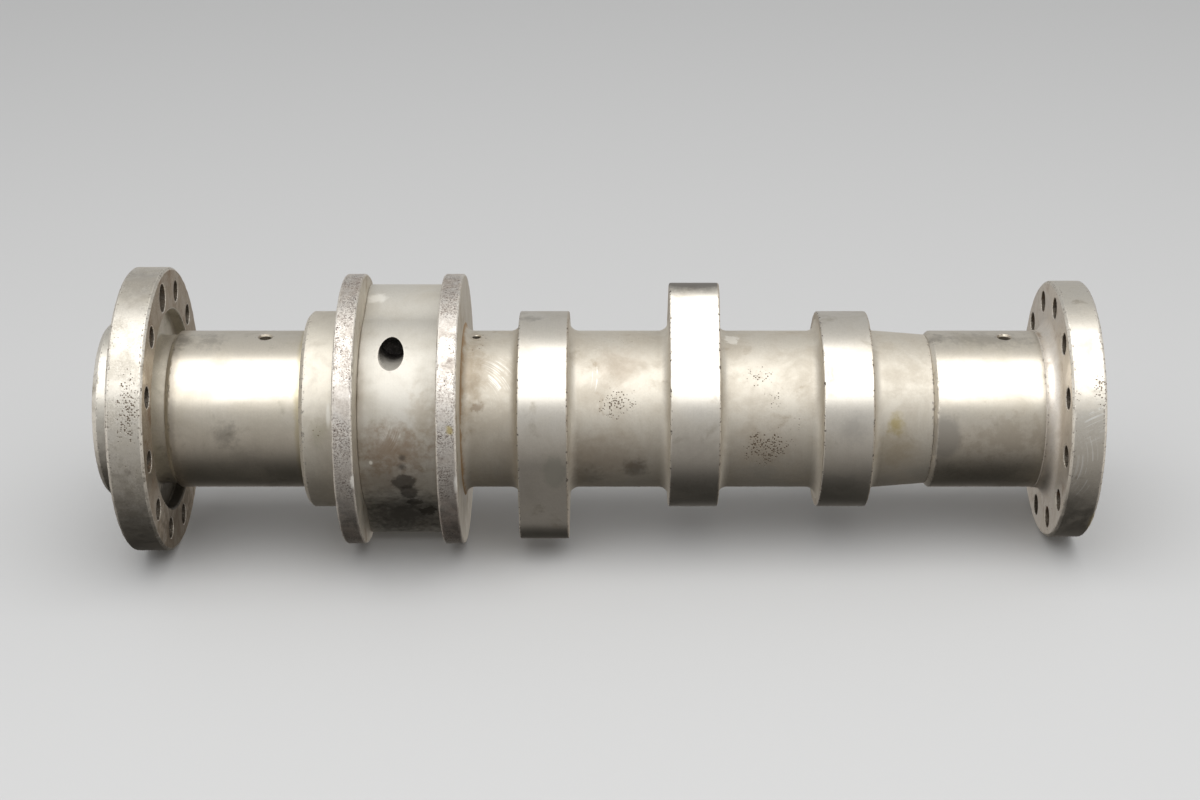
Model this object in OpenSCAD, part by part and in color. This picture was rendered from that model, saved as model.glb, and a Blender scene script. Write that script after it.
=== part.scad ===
// One-cylinder section of a built-up camshaft.
// +X runs along the shaft, +Z is up, and the origin is on the shaft's axis at the mating face
// of the left coupling flange. Angles round the axis start at +Y and turn towards +Z.

/* [Journals and necks] */
// Diameter of both bearing journals
journal_d = 80; // [72:0.5:92]
// Length of the left journal, from its relief to the spacer collar
left_journal_len = 65.8; // [50:0.1:90]
// Length of the right journal sleeve, from its joint to the flange
right_journal_len = 62.5; // [48:0.1:90]
// Diameter of the necks between the cams
neck_d = 80; // [74:0.5:84]
// Smallest diameter of the tapered neck before the right journal
taper_d = 76; // [72:0.5:84]
// Diameter of the relief beside the left journal
relief_d = 76; // [72:0.5:84]
// Width of that relief outside the flange
relief_w = 5.5; // [3:0.1:12]
// Chamfer at the open end of each journal
journal_chamfer = 2; // [0.5:0.1:4]
// Root radius where necks and journals meet cams and shoulders
root_r = 5; // [2:0.1:6]

/* [Left flange] */
// Diameter of the left flange
left_flange_d = 145; // [130:1:180]
// Thickness of the left flange
left_flange_t = 18; // [15:0.1:30]
// Bolt circle of the left flange
left_pcd = 122; // [116:0.5:126]
// Diameter of the ring-shaped recess round the left journal's root
recess_d = 102; // [94:0.5:104]
// Depth of that recess
recess_depth = 6; // [2:0.1:8]

/* [Right flange] */
// Diameter of the right flange
right_flange_d = 131; // [120:1:170]
// Thickness of the right flange
right_flange_t = 17; // [13:0.1:30]
// Bolt circle of the right flange
right_pcd = 111; // [104:0.5:114]
// Diameter of the register in the right flange's face
register_d = 80; // [70:0.5:90]
// Depth of that register
register_depth = 6; // [3:0.1:9]
// Fillet between the right journal and its flange
flange_fillet = 6; // [2:0.1:7]

/* [Flange bolts] */
// Number of bolt holes in each flange
bolt_count = 12; // [6:1:12]
// Diameter of a bolt hole
bolt_hole_d = 10.5; // [8:0.1:12.6]
// Outer diameter of the locating bush in the top hole of the left flange
bush_d = 14; // [13:0.1:15]
// Length of the locating bush, from the mating face
bush_len = 10; // [6:0.1:14]
// Chamfer round the flange rims
rim_chamfer = 1.2; // [0.5:0.1:2]

/* [Centring ring] */
// Outer diameter of the centring ring
ring_d = 90; // [80:0.5:94]
// Diameter of the ring's seat in the left flange
ring_seat_d = 86; // [76:0.5:88]
// Bore of the centring ring
ring_bore_d = 64; // [60:0.5:70]
// How far the ring stands out of the left flange
ring_proud = 13.3; // [8:0.1:20]
// How deep the ring is seated in the left flange
ring_seat = 5; // [3:0.1:6]
// Chamfer at the ring's free end
ring_chamfer = 2.5; // [0.5:0.1:4]

/* [Fuel cam and cheeks] */
// Width of the fuel cam
fuel_cam_w = 40; // [30:0.5:60]
// Base circle of the fuel cam
fuel_base_d = 100; // [94:0.5:106]
// Radius of the fuel cam's dwell at full lift
fuel_top_r = 66.8; // [58:0.1:68]
// Direction of the middle of that dwell
fuel_angle = -25; // [-180:1:180]
// Half of the angle that the dwell covers
fuel_dwell = 72; // [50:1:80]
// Angle of the steep flank
fuel_rise = 33; // [25:1:45]
// Angle of the gentle flank
fuel_fall = 46; // [35:1:60]
// Diameter of the bar hole in the fuel cam
bar_hole_d = 12.8; // [8:0.1:13]
// Depth of the bar hole
bar_hole_depth = 22; // [14:0.5:23]
// Distance of the bar hole from the left face of the fuel cam
bar_hole_x = 16; // [10:0.5:20]
// Diameter of both cheek discs
cheek_d = 138; // [136:0.5:144]
// Thickness of a cheek disc
cheek_t = 10; // [6:0.5:16]
// Diameter of the spacer collar
collar_d = 100; // [92:0.5:110]
// Length of the spacer collar
collar_len = 18.7; // [12:0.1:30]
// Chamfer on the cheeks' rims and the collar
edge_chamfer = 1; // [0.4:0.1:2]
// Chamfer at the collar's outer end
collar_chamfer = 2; // [1:0.1:4]

/* [Valve cams] */
// Width of each valve cam
cam_w = 25; // [18:0.5:36]
// Distance from one valve cam to the next
cam_pitch = 75.4; // [60:0.1:100]
// Neck between the right cheek and the first valve cam
first_neck = 28.2; // [18:0.1:50]
// Neck between the last valve cam and the right journal
last_neck = 30.5; // [20:0.1:50]
// Base circle of the valve cams
cam_base_d = 100; // [94:0.5:110]
// Height of a nose over the axis
cam_nose = 66.5; // [58:0.1:68]
// Radius of the nose
nose_r = 18; // [12:0.5:24]
// Directions of the three noses
cam_angles = [238, 85, -25];

/* [Inside] */
// Diameter of the shank that carries the collar, the cheeks and the fuel cam
shank_d = 64; // [62:0.1:77]
// Diameter of the stub in each journal sleeve
stub_d = 60; // [50:0.5:61]
// How far each stub ends short of the flange recess beside it
stub_short = 5; // [4.8:0.1:8]
// Diameter of the oil gallery
gallery_d = 14; // [8:0.5:16]
// Diameter of the oil holes in the journals
oil_hole_d = 6; // [4:0.1:8]
// Diameter of the oil hole in the first neck
small_oil_d = 4; // [2:0.1:6]
// Distance of the left journal's oil hole from the collar
left_oil_x = 21.3; // [15:0.1:28]
// Distance of the right journal's oil hole from its joint
right_oil_x = 38.5; // [20:0.1:40]
// Distance of the neck's oil hole from the right cheek
neck_oil_x = 6.5; // [4:0.1:14]
// Width of the fuel cam's key
fuel_key_w = 18; // [12:0.5:20]
// Height of the fuel cam's key
fuel_key_h = 11; // [8:0.5:12]
// Width of a journal's key
journal_key_w = 16; // [10:0.5:18]
// Height of a journal's key
journal_key_h = 10; // [7:0.5:11]
// Length of a journal's key
journal_key_len = 45; // [30:0.5:46]
// Distance from a key's end to the joint beside it
key_end_gap = 2.5; // [1:0.1:6]
// Clearance over the top of each key
key_top_gap = 0.3; // [0.1:0.1:0.6]
// Thread diameter of a gallery plug
plug_d = 20; // [18:0.5:24]
// Thread length of a gallery plug
plug_len = 12; // [8:0.5:20]
// Head diameter of a gallery plug
plug_head_d = 27; // [26:0.5:32]
// Head height of a gallery plug
plug_head_h = 3.5; // [2:0.1:3.8]
// Width across the flats of a plug's hexagon socket
socket_af = 10; // [6:0.5:12]
// Thickness of a plug's sealing washer
washer_t = 1; // [0.5:0.1:1]

/* [Hidden] */
$fn = 96;
arc_steps = 8;
past = 1;
up = 90;

// Stations along the shaft, from left to right.
journal_l_x0 = left_flange_t + relief_w;
collar_x0 = journal_l_x0 + left_journal_len;
cheek_l_x0 = collar_x0 + collar_len;
fuel_x0 = cheek_l_x0 + cheek_t;
cheek_r_x0 = fuel_x0 + fuel_cam_w;
shoulder_x = cheek_r_x0 + cheek_t;
function cam_x0(i) = shoulder_x + first_neck + i * cam_pitch;
last_cam_x1 = cam_x0(len(cam_angles) - 1) + cam_w;
joint_r_x = last_cam_x1 + last_neck;
flange_r_x0 = joint_r_x + right_journal_len;
flange_r_x1 = flange_r_x0 + right_flange_t;
stub_l_x0 = ring_seat + stub_short;
stub_r_x1 = flange_r_x1 - register_depth - stub_short;

// Seats of the three keys.
fuel_key_x0 = collar_x0 + key_end_gap;
fuel_key_x1 = shoulder_x - key_end_gap;
key_l_x1 = collar_x0 - key_end_gap;
key_l_x0 = key_l_x1 - journal_key_len;
key_r_x0 = joint_r_x + key_end_gap;
key_r_x1 = key_r_x0 + journal_key_len;
// A key sits about three fifths of its height deep in the shaft.
key_in_shaft = 0.6;
washer_d = plug_head_d - 1;
// The ring narrows to its seat at 45 degrees.
ring_lead = (ring_d - ring_seat_d) / 2;
oil_mouth = 2;

// Turns a solid that was made along +Z so that it lies along +X, starting at x.
module along_x(x) {
    translate([x, 0, 0]) rotate([0, 90, 0]) children();
}

// A solid of revolution about the shaft's axis from points [radius, x].
module turned(points) {
    along_x(0) rotate_extrude() polygon(points);
}

// An outline in the Y-Z plane, made into a slab from x0 to x1.
module slab(x0, x1) {
    translate([x0, 0, 0]) rotate([90, 0, 90]) linear_extrude(height = x1 - x0) children();
}

// A round hole along the shaft's axis.
module axial_hole(x0, x1, d) {
    along_x(x0) cylinder(h = x1 - x0, d = d);
}

// The bolt holes of a flange, on its bolt circle from x0 to x1.
module bolt_holes(x0, x1, pcd) {
    for (i = [0:bolt_count - 1])
        rotate([up + i * 360 / bolt_count, 0, 0])
            translate([0, pcd / 2, 0]) axial_hole(x0, x1, bolt_hole_d);
}

// A radial oil hole at x, upwards from the gallery, with a countersunk mouth at radius r.
module oil_hole(x, d, r) {
    translate([x, 0, 0]) cylinder(h = r + past, d = d);
    translate([x, 0, r - oil_mouth / 2]) cylinder(h = oil_mouth, d1 = d, d2 = d + 2 * oil_mouth);
}

// Points [radius, x] of a concave root fillet that climbs from radius r at x0 in direction dir.
function root_up(x0, dir, r, fillet) = [
    for (i = [0:arc_steps])
        let (a = 90 * i / arc_steps)
        [r + fillet * (1 - cos(a)), x0 + dir * fillet * sin(a)]
];

// The same fillet, followed down from its shoulder.
function root_down(x0, dir, r, fillet) = [
    for (i = [arc_steps:-1:0])
        let (a = 90 * i / arc_steps)
        [r + fillet * (1 - cos(a)), x0 + dir * fillet * sin(a)]
];

// The neck between two shoulders, with a root fillet at both ends.
function neck_points(x0, x1) = concat(
    root_down(x0 + root_r, -1, neck_d / 2, root_r),
    root_up(x1 - root_r, 1, neck_d / 2, root_r)
);

// A key with round ends, from x0 to x1, lying on the underside of a shaft of diameter d.
module key_shape(x0, x1, d, w, h) {
    translate([0, 0, -(d / 2 + h * (1 - key_in_shaft))]) {
        translate([x0 + w / 2, -w / 2, 0]) cube([x1 - x0 - w, w, h]);
        translate([x0 + w / 2, 0, 0]) cylinder(h = h, d = w);
        translate([x1 - w / 2, 0, 0]) cylinder(h = h, d = w);
    }
}

// The keyway that a hub slides over its key, open from x0 to x1.
module hub_keyway(x0, x1, d, w, h) {
    reach = d / 2 + h * (1 - key_in_shaft) + key_top_gap;
    translate([x0, -w / 2, -reach]) cube([x1 - x0, w, reach]);
}

// Outline of a valve cam with its nose along +Y: two circles and the flat flanks between them.
module cam_outline() {
    base_r = cam_base_d / 2;
    nose_x = cam_nose - nose_r;
    flank = acos((base_r - nose_r) / nose_x);
    circle(r = base_r);
    translate([nose_x, 0]) circle(r = nose_r);
    polygon([
        [base_r * cos(flank), base_r * sin(flank)],
        [nose_x + nose_r * cos(flank), nose_r * sin(flank)],
        [nose_x + nose_r * cos(flank), -nose_r * sin(flank)],
        [base_r * cos(flank), -base_r * sin(flank)]
    ]);
}

// Radius along a fuel cam flank: from the base circle at t = 0 to the dwell at t = 1.
function flank_radius(t) = fuel_base_d / 2 + (fuel_top_r - fuel_base_d / 2) * t * t * (3 - 2 * t);

// Point of the fuel cam's outline at angle a and radius r.
function polar(r, a) = [r * cos(a), r * sin(a)];

// Outline of the fuel cam with the middle of its dwell along +Y. The flanks stop just short of
// the dwell and just under the base circle, so that the outlines cross cleanly.
module fuel_outline() {
    steps = 14;
    foot_r = fuel_base_d / 2 - 0.3;
    far = 2 * fuel_top_r;
    circle(d = fuel_base_d);
    intersection() {
        circle(r = fuel_top_r);
        polygon(concat(
            [[0, 0], polar(foot_r, -fuel_dwell - fuel_rise)],
            [for (i = [1:steps]) polar(flank_radius(i / steps), -fuel_dwell - fuel_rise * (1 - i / steps))],
            [polar(far, -fuel_dwell), [far, -far], [far, far], polar(far, fuel_dwell)],
            [for (i = [steps:-1:1]) polar(flank_radius(i / steps), fuel_dwell + fuel_fall * (1 - i / steps))],
            [polar(foot_r, fuel_dwell + fuel_fall)]
        ));
    }
}

// Forged body: shoulder, necks, three valve cams, and a turned shank and stubs at its ends.
module cam_body() {
    last = len(cam_angles) - 1;
    color([0.66, 0.64, 0.58]) difference() {
        union() {
            turned(concat(
                [[0, stub_l_x0], [stub_d / 2, stub_l_x0], [stub_d / 2, collar_x0]],
                [[shank_d / 2, collar_x0], [shank_d / 2, shoulder_x]],
                neck_points(shoulder_x, cam_x0(0)),
                [for (i = [0:last - 1]) each neck_points(cam_x0(i) + cam_w, cam_x0(i + 1))],
                root_down(last_cam_x1 + root_r, -1, neck_d / 2, root_r),
                [[taper_d / 2, joint_r_x], [stub_d / 2, joint_r_x]],
                [[stub_d / 2, stub_r_x1], [0, stub_r_x1]]
            ));
            for (i = [0:last])
                slab(cam_x0(i), cam_x0(i) + cam_w) rotate(cam_angles[i]) cam_outline();
        }
        axial_hole(stub_l_x0 - past, stub_r_x1 + past, gallery_d);
        axial_hole(stub_l_x0 - past, stub_l_x0 + plug_len, plug_d);
        axial_hole(stub_r_x1 - plug_len, stub_r_x1 + past, plug_d);
        translate([collar_x0 - left_oil_x, 0, 0]) cylinder(h = stub_d, d = oil_hole_d);
        translate([joint_r_x + right_oil_x, 0, 0]) cylinder(h = stub_d, d = oil_hole_d);
        oil_hole(shoulder_x + neck_oil_x, small_oil_d, neck_d / 2);
        key_shape(fuel_key_x0, fuel_key_x1, shank_d, fuel_key_w, fuel_key_h);
        key_shape(key_l_x0, key_l_x1, stub_d, journal_key_w, journal_key_h);
        key_shape(key_r_x0, key_r_x1, stub_d, journal_key_w, journal_key_h);
    }
}

// The fuel cam slides on the shank, and its tangential blind hole takes a bar that turns it.
module fuel_cam() {
    bar_hole_at = 123;
    bar_hole_axis = 173;
    color([0.70, 0.68, 0.62]) difference() {
        slab(fuel_x0, cheek_r_x0) rotate(fuel_angle) fuel_outline();
        axial_hole(fuel_x0 - past, cheek_r_x0 + past, shank_d);
        hub_keyway(fuel_x0 - past, cheek_r_x0 + past, shank_d, fuel_key_w, fuel_key_h);
        translate([fuel_x0 + bar_hole_x, 0, 0])
            rotate([bar_hole_at, 0, 0]) translate([0, fuel_base_d / 2, 0])
                rotate([bar_hole_axis - bar_hole_at, 0, 0]) rotate([-90, 0, 0])
                    translate([0, 0, -bar_hole_depth])
                        cylinder(h = bar_hole_depth + fuel_base_d / 2, d = bar_hole_d);
    }
}

// A cheek disc with chamfered rims, from x0 to x0 + cheek_t.
module cheek(x0) {
    r = cheek_d / 2;
    x1 = x0 + cheek_t;
    difference() {
        turned([
            [shank_d / 2, x0], [r - edge_chamfer, x0], [r, x0 + edge_chamfer],
            [r, x1 - edge_chamfer], [r - edge_chamfer, x1], [shank_d / 2, x1]
        ]);
        hub_keyway(x0 - past, x1 + past, shank_d, fuel_key_w, fuel_key_h);
    }
}

module left_cheek() {
    color([0.74, 0.72, 0.68]) cheek(cheek_l_x0);
}

module right_cheek() {
    color([0.74, 0.72, 0.68]) cheek(cheek_r_x0);
}

// Collar that holds the cheeks and the fuel cam against the forged shoulder.
module spacer_collar() {
    r = collar_d / 2;
    color([0.72, 0.71, 0.67]) difference() {
        turned([
            [shank_d / 2, collar_x0], [r - collar_chamfer, collar_x0],
            [r, collar_x0 + collar_chamfer], [r, cheek_l_x0], [shank_d / 2, cheek_l_x0]
        ]);
        hub_keyway(collar_x0 - past, cheek_l_x0 + past, shank_d, fuel_key_w, fuel_key_h);
    }
}

// Left bearing journal with its coupling flange, shrunk and keyed on the left stub.
module left_flange_journal() {
    rim = left_flange_d / 2;
    recess_x = left_flange_t - recess_depth;
    color([0.68, 0.67, 0.64]) difference() {
        turned([
            [stub_d / 2, ring_seat], [ring_seat_d / 2, ring_seat], [ring_seat_d / 2, ring_lead],
            [ring_d / 2, 0], [rim - rim_chamfer, 0], [rim, rim_chamfer],
            [rim, left_flange_t - rim_chamfer], [rim - rim_chamfer, left_flange_t],
            [recess_d / 2, left_flange_t], [recess_d / 2, recess_x],
            [relief_d / 2, recess_x], [relief_d / 2, journal_l_x0 - journal_chamfer],
            [journal_d / 2, journal_l_x0], [journal_d / 2, collar_x0], [stub_d / 2, collar_x0]
        ]);
        bolt_holes(-past, left_flange_t + past, left_pcd);
        rotate([up, 0, 0]) translate([0, left_pcd / 2, 0])
            axial_hole(-past, left_flange_t + past, bush_d);
        oil_hole(collar_x0 - left_oil_x, oil_hole_d, journal_d / 2);
        hub_keyway(key_l_x0 - key_end_gap, collar_x0 + past, stub_d, journal_key_w, journal_key_h);
    }
}

// Right bearing journal with its coupling flange, shrunk and keyed on the right stub.
module right_flange_journal() {
    rim = right_flange_d / 2;
    register_x = flange_r_x1 - register_depth;
    color([0.68, 0.67, 0.64]) difference() {
        turned(concat(
            [[stub_d / 2, joint_r_x], [journal_d / 2 - journal_chamfer, joint_r_x]],
            [[journal_d / 2, joint_r_x + journal_chamfer]],
            root_up(flange_r_x0 - flange_fillet, 1, journal_d / 2, flange_fillet),
            [[rim - rim_chamfer, flange_r_x0], [rim, flange_r_x0 + rim_chamfer]],
            [[rim, flange_r_x1 - rim_chamfer], [rim - rim_chamfer, flange_r_x1]],
            [[register_d / 2, flange_r_x1], [register_d / 2, register_x], [stub_d / 2, register_x]]
        ));
        bolt_holes(flange_r_x0 - past, flange_r_x1 + past, right_pcd);
        oil_hole(joint_r_x + right_oil_x, oil_hole_d, journal_d / 2);
        hub_keyway(joint_r_x - past, key_r_x1 + key_end_gap, stub_d, journal_key_w, journal_key_h);
    }
}

// Shouldered ring pressed into the left flange, which centres it in the neighbouring flange.
module centring_ring() {
    r = ring_d / 2;
    color([0.62, 0.61, 0.59]) turned([
        [ring_bore_d / 2, -ring_proud], [r - ring_chamfer, -ring_proud],
        [r, ring_chamfer - ring_proud], [r, 0], [ring_seat_d / 2, ring_lead],
        [ring_seat_d / 2, ring_seat], [ring_bore_d / 2, ring_seat]
    ]);
}

// Bush in the enlarged top bolt hole, flush with the mating face.
module locating_bush() {
    color([0.58, 0.57, 0.55]) rotate([up, 0, 0]) translate([0, left_pcd / 2, 0]) difference() {
        axial_hole(0, bush_len, bush_d);
        axial_hole(-past, bush_len + past, bolt_hole_d);
    }
}

module fuel_cam_key() {
    color([0.55, 0.55, 0.57])
        key_shape(fuel_key_x0, fuel_key_x1, shank_d, fuel_key_w, fuel_key_h);
}

module left_journal_key() {
    color([0.55, 0.55, 0.57])
        key_shape(key_l_x0, key_l_x1, stub_d, journal_key_w, journal_key_h);
}

module right_journal_key() {
    color([0.55, 0.55, 0.57])
        key_shape(key_r_x0, key_r_x1, stub_d, journal_key_w, journal_key_h);
}

// Screw plug with a hexagon socket, made along +Z with its washer's face at zero.
module plug_shape() {
    difference() {
        union() {
            translate([0, 0, -plug_len - washer_t]) cylinder(h = plug_len + washer_t, d = plug_d);
            cylinder(h = plug_head_h, d = plug_head_d);
        }
        translate([0, 0, -socket_af / 2])
            cylinder(h = socket_af / 2 + plug_head_h + past, d = socket_af / cos(30), $fn = 6);
    }
}

// Sealing washer between a plug's head and the end of its stub, made below the X-Y plane.
module washer_shape() {
    translate([0, 0, -washer_t]) difference() {
        cylinder(h = washer_t, d = washer_d);
        translate([0, 0, -past]) cylinder(h = washer_t + 2 * past, d = plug_d);
    }
}

// Places a plug or a washer at the left or the right end of the gallery.
module at_left_end() {
    translate([stub_l_x0 - washer_t, 0, 0]) rotate([0, -90, 0]) children();
}

module at_right_end() {
    translate([stub_r_x1 + washer_t, 0, 0]) rotate([0, 90, 0]) children();
}

module left_gallery_plug() {
    color([0.45, 0.45, 0.47]) at_left_end() plug_shape();
}

module right_gallery_plug() {
    color([0.45, 0.45, 0.47]) at_right_end() plug_shape();
}

module left_plug_washer() {
    color([0.72, 0.43, 0.28]) at_left_end() washer_shape();
}

module right_plug_washer() {
    color([0.72, 0.43, 0.28]) at_right_end() washer_shape();
}

cam_body();
fuel_cam();
left_cheek();
right_cheek();
spacer_collar();
left_flange_journal();
right_flange_journal();
centring_ring();
locating_bush();
fuel_cam_key();
left_journal_key();
right_journal_key();
left_gallery_plug();
right_gallery_plug();
left_plug_washer();
right_plug_washer();
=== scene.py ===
import math

import bmesh
import bpy
import numpy as np
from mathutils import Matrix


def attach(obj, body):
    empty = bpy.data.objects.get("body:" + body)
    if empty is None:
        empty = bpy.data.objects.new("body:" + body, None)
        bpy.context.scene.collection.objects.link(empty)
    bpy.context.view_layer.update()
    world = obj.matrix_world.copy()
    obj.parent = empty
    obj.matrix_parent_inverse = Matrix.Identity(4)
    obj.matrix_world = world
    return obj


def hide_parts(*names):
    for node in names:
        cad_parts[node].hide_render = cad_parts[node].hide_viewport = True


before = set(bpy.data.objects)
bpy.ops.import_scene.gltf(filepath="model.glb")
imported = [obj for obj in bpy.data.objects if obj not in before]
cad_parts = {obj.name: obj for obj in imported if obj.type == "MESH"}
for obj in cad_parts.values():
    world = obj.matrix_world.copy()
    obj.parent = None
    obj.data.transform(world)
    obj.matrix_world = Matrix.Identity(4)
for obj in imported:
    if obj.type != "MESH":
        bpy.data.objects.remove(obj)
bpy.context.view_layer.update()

# ---------------------------------------------------------------------------------------------
# Forged body. One alloy steel forging holds the shank, the shoulder, the necks and the three
# valve cams. It is turned all over, and only the cam tracks are hardened and ground bright.
# ---------------------------------------------------------------------------------------------
MM = 0.001


def outline(corners, longest=4.0):
    """Closed outline of a turned piece, from corners (x, radius, rounding, finish, shares).

    The outer side runs towards +x, so the metal is on the right. A rounded corner becomes an arc
    that touches both sides, rounding * tan(turn / 2) away from the corner. A straight stretch
    gets extra points near its ends, which keep shading and wear close to the edge.
    """
    at = np.array([corner[:2] for corner in corners], float)
    rounding = np.array([corner[2] for corner in corners], float)
    shares = np.array([corner[4] if len(corner) > 4 else (0, 0, 0) for corner in corners], float)
    ahead = np.roll(at, -1, axis=0) - at
    length = np.hypot(ahead[:, 0], ahead[:, 1])
    ahead /= length[:, None]
    behind = np.roll(ahead, 1, axis=0)
    turn = np.arctan2(
        behind[:, 0] * ahead[:, 1] - behind[:, 1] * ahead[:, 0], (behind * ahead).sum(axis=1)
    )
    reach = rounding * np.tan(np.abs(turn) / 2)
    near_end = np.array([0.35, 0.9, 2.0])
    inward_way = ahead - behind
    inward_way /= np.maximum(np.hypot(inward_way[:, 0], inward_way[:, 1]), 1e-9)[:, None]
    points, share_rows, finish_rows, corner_rows = [], [], [], []
    for i in range(len(corners)):
        arc = at[i][None]
        if rounding[i] > 0:
            steps = max(2, math.ceil(abs(turn[i]) / (math.pi / 2) * (6 if rounding[i] < 2 else 12)))
            swing = np.linspace(0, turn[i], steps + 1)
            start = at[i] - behind[i] * reach[i]
            inward = np.array([-behind[i, 1], behind[i, 0]]) * np.sign(turn[i])
            spoke = -inward * rounding[i]
            centre = start - spoke
            arc = centre + np.stack([
                spoke[0] * np.cos(swing) - spoke[1] * np.sin(swing),
                spoke[0] * np.sin(swing) + spoke[1] * np.cos(swing),
            ], axis=1)
        following = (i + 1) % len(corners)
        room = length[i] - reach[i] - reach[following]
        ends = near_end[near_end < room / 2]
        middle = np.array([])
        if room > 4.5:
            middle = np.linspace(2, room - 2, math.ceil((room - 4) / longest) + 1)[1:-1]
        along = np.concatenate([ends, middle, (room - ends)[::-1]])
        straight = at[i] + ahead[i] * (reach[i] + along)[:, None]
        blend = (along / max(room, 1e-9))[:, None]
        points += [arc, straight]
        share_rows += [
            np.repeat(shares[i][None], len(arc), axis=0),
            shares[i] * (1 - blend) + shares[following] * blend,
        ]
        finish_rows += [corners[i][3]] * (len(arc) + len(along))
        corner_rows += [i if turn[i] < -0.3 else -1] * len(arc) + [-1] * len(along)
    return {
        "points": np.concatenate(points),
        "shares": np.concatenate(share_rows),
        "finish": np.array(finish_rows),
        "corner": np.array(corner_rows),
        "inward": inward_way,
        "edges": [(*at[i], *shares[i]) for i in range(len(corners)) if turn[i] < -0.3],
        "nooks": [(*at[i], *shares[i]) for i in range(len(corners)) if turn[i] > 0.3],
    }


def no_lift(angle):
    """Three lifts that are zero at every angle."""
    return np.zeros((3, len(angle)))


def turned(name, shape, lift=no_lift, columns=360, origin=(0, 0, 0), axis=(1, 0, 0), nicks=0):
    """Surface of revolution about a line through origin along axis.

    Point (i, j) stands x_i along the axis, at angle a_j = 2 pi j / columns, at the radius
    r_i + share_i . lift(a_j). Both directions close on themselves, and points on the axis merge.
    Nicks press an outer edge inwards here and there, by up to `nicks` millimetres: the depth is
    a random number to the ninth power, smoothed along the edge.
    """
    angle = np.linspace(0, 2 * math.pi, columns, endpoint=False)
    radius = shape["points"][:, 1, None] + shape["shares"] @ lift(angle)
    along = np.repeat(shape["points"][:, 0, None], columns, axis=1)
    if nicks:
        chance = np.random.default_rng(7).random((len(shape["inward"]), columns)) ** 9
        depth = chance * 0.6 + 0.4 * (np.roll(chance, 1, axis=1) + np.roll(chance, -1, axis=1))
        struck = shape["corner"] >= 0
        edge = shape["corner"][struck]
        along[struck] += shape["inward"][edge, 0, None] * depth[edge] * nicks
        radius[struck] += shape["inward"][edge, 1, None] * depth[edge] * nicks
    axis = np.array(axis, float) / np.linalg.norm(axis)
    across = np.array([0.0, 1.0, 0.0])
    if abs(axis[0]) < 0.999:
        across = np.cross([1.0, 0.0, 0.0], axis)
        across /= np.linalg.norm(across)
    up = np.cross(axis, across)
    points = (
        np.array(origin, float)
        + along[..., None] * axis
        + (radius * np.cos(angle))[..., None] * across
        + (radius * np.sin(angle))[..., None] * up
    ).reshape(-1, 3) * MM
    row, column = np.meshgrid(np.arange(len(radius)), np.arange(columns), indexing="ij")
    next_row, next_column = (row + 1) % len(radius), (column + 1) % columns
    quads = np.stack([
        row * columns + column, row * columns + next_column,
        next_row * columns + next_column, next_row * columns + column,
    ], axis=-1).reshape(-1, 4)
    mesh = bpy.data.meshes.new(name)
    mesh.from_pydata(points.tolist(), [], quads.tolist())
    mesh.polygons.foreach_set("material_index", np.repeat(shape["finish"], columns).astype(np.int32))
    if np.any(shape["points"][:, 1] == 0):
        loose = bmesh.new()
        loose.from_mesh(mesh)
        bmesh.ops.remove_doubles(loose, verts=loose.verts, dist=1e-7)
        loose.to_mesh(mesh)
        loose.free()
    piece = bpy.data.objects.new(name, mesh)
    bpy.context.scene.collection.objects.link(piece)
    return piece


DRILL_PAST = 3.0


def drill(origin, axis, depth, radius, mouth=0.0, far_mouth=0.0):
    """Cutter for a hole that starts at the origin and goes `depth` deep along the axis.

    A mouth is a countersink at 45 degrees, that much wider than the hole. With a far mouth the
    hole comes out again, countersunk there as well; without one it ends in the drill's cone."""
    start = (-DRILL_PAST, radius + mouth + DRILL_PAST * (mouth > 0))
    corners = [(-DRILL_PAST, 0), start, (mouth, radius)]
    if far_mouth > 0:
        corners += [
            (depth - far_mouth, radius), (depth + DRILL_PAST, radius + far_mouth + DRILL_PAST),
            (depth + DRILL_PAST, 0),
        ]
    else:
        corners += [(depth, radius), (depth + radius * 0.6, 0)]
    shape = {
        "points": np.array(corners, float), "shares": np.zeros((len(corners), 3)),
        "finish": np.zeros(len(corners), int),
    }
    return turned("drill", shape, columns=48, origin=origin, axis=axis)


def slot_cutter(x0, x1, width, z0, z1, round_ends):
    """Upright prism over a slot outline: a rectangle whose ends may be half circles.

    Its outline point at angle a stands at the slot's middle, plus half its straight length
    towards the side of cos a, plus half its width times (cos a, sin a)."""
    steps = 48
    angle = (np.arange(steps) + 0.5) * 2 * math.pi / steps
    half = width / 2
    if round_ends:
        x = (x0 + x1) / 2 + np.sign(np.cos(angle)) * ((x1 - x0) / 2 - half) + half * np.cos(angle)
        y = half * np.sin(angle)
    else:
        x = np.array([x1, x0, x0, x1], float)
        y = np.array([half, half, -half, -half])
        steps = 4
    ring = np.arange(steps)
    following = (ring + 1) % steps
    points = np.concatenate([
        np.stack([x, y, np.full(steps, float(z0))], axis=1),
        np.stack([x, y, np.full(steps, float(z1))], axis=1),
    ]) * MM
    sides = np.stack([ring, following, following + steps, ring + steps], axis=1).tolist()
    mesh = bpy.data.meshes.new("slot")
    mesh.from_pydata(points.tolist(), [], sides + [ring[::-1].tolist(), (ring + steps).tolist()])
    cutter = bpy.data.objects.new("slot", mesh)
    bpy.context.scene.collection.objects.link(cutter)
    return cutter


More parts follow.
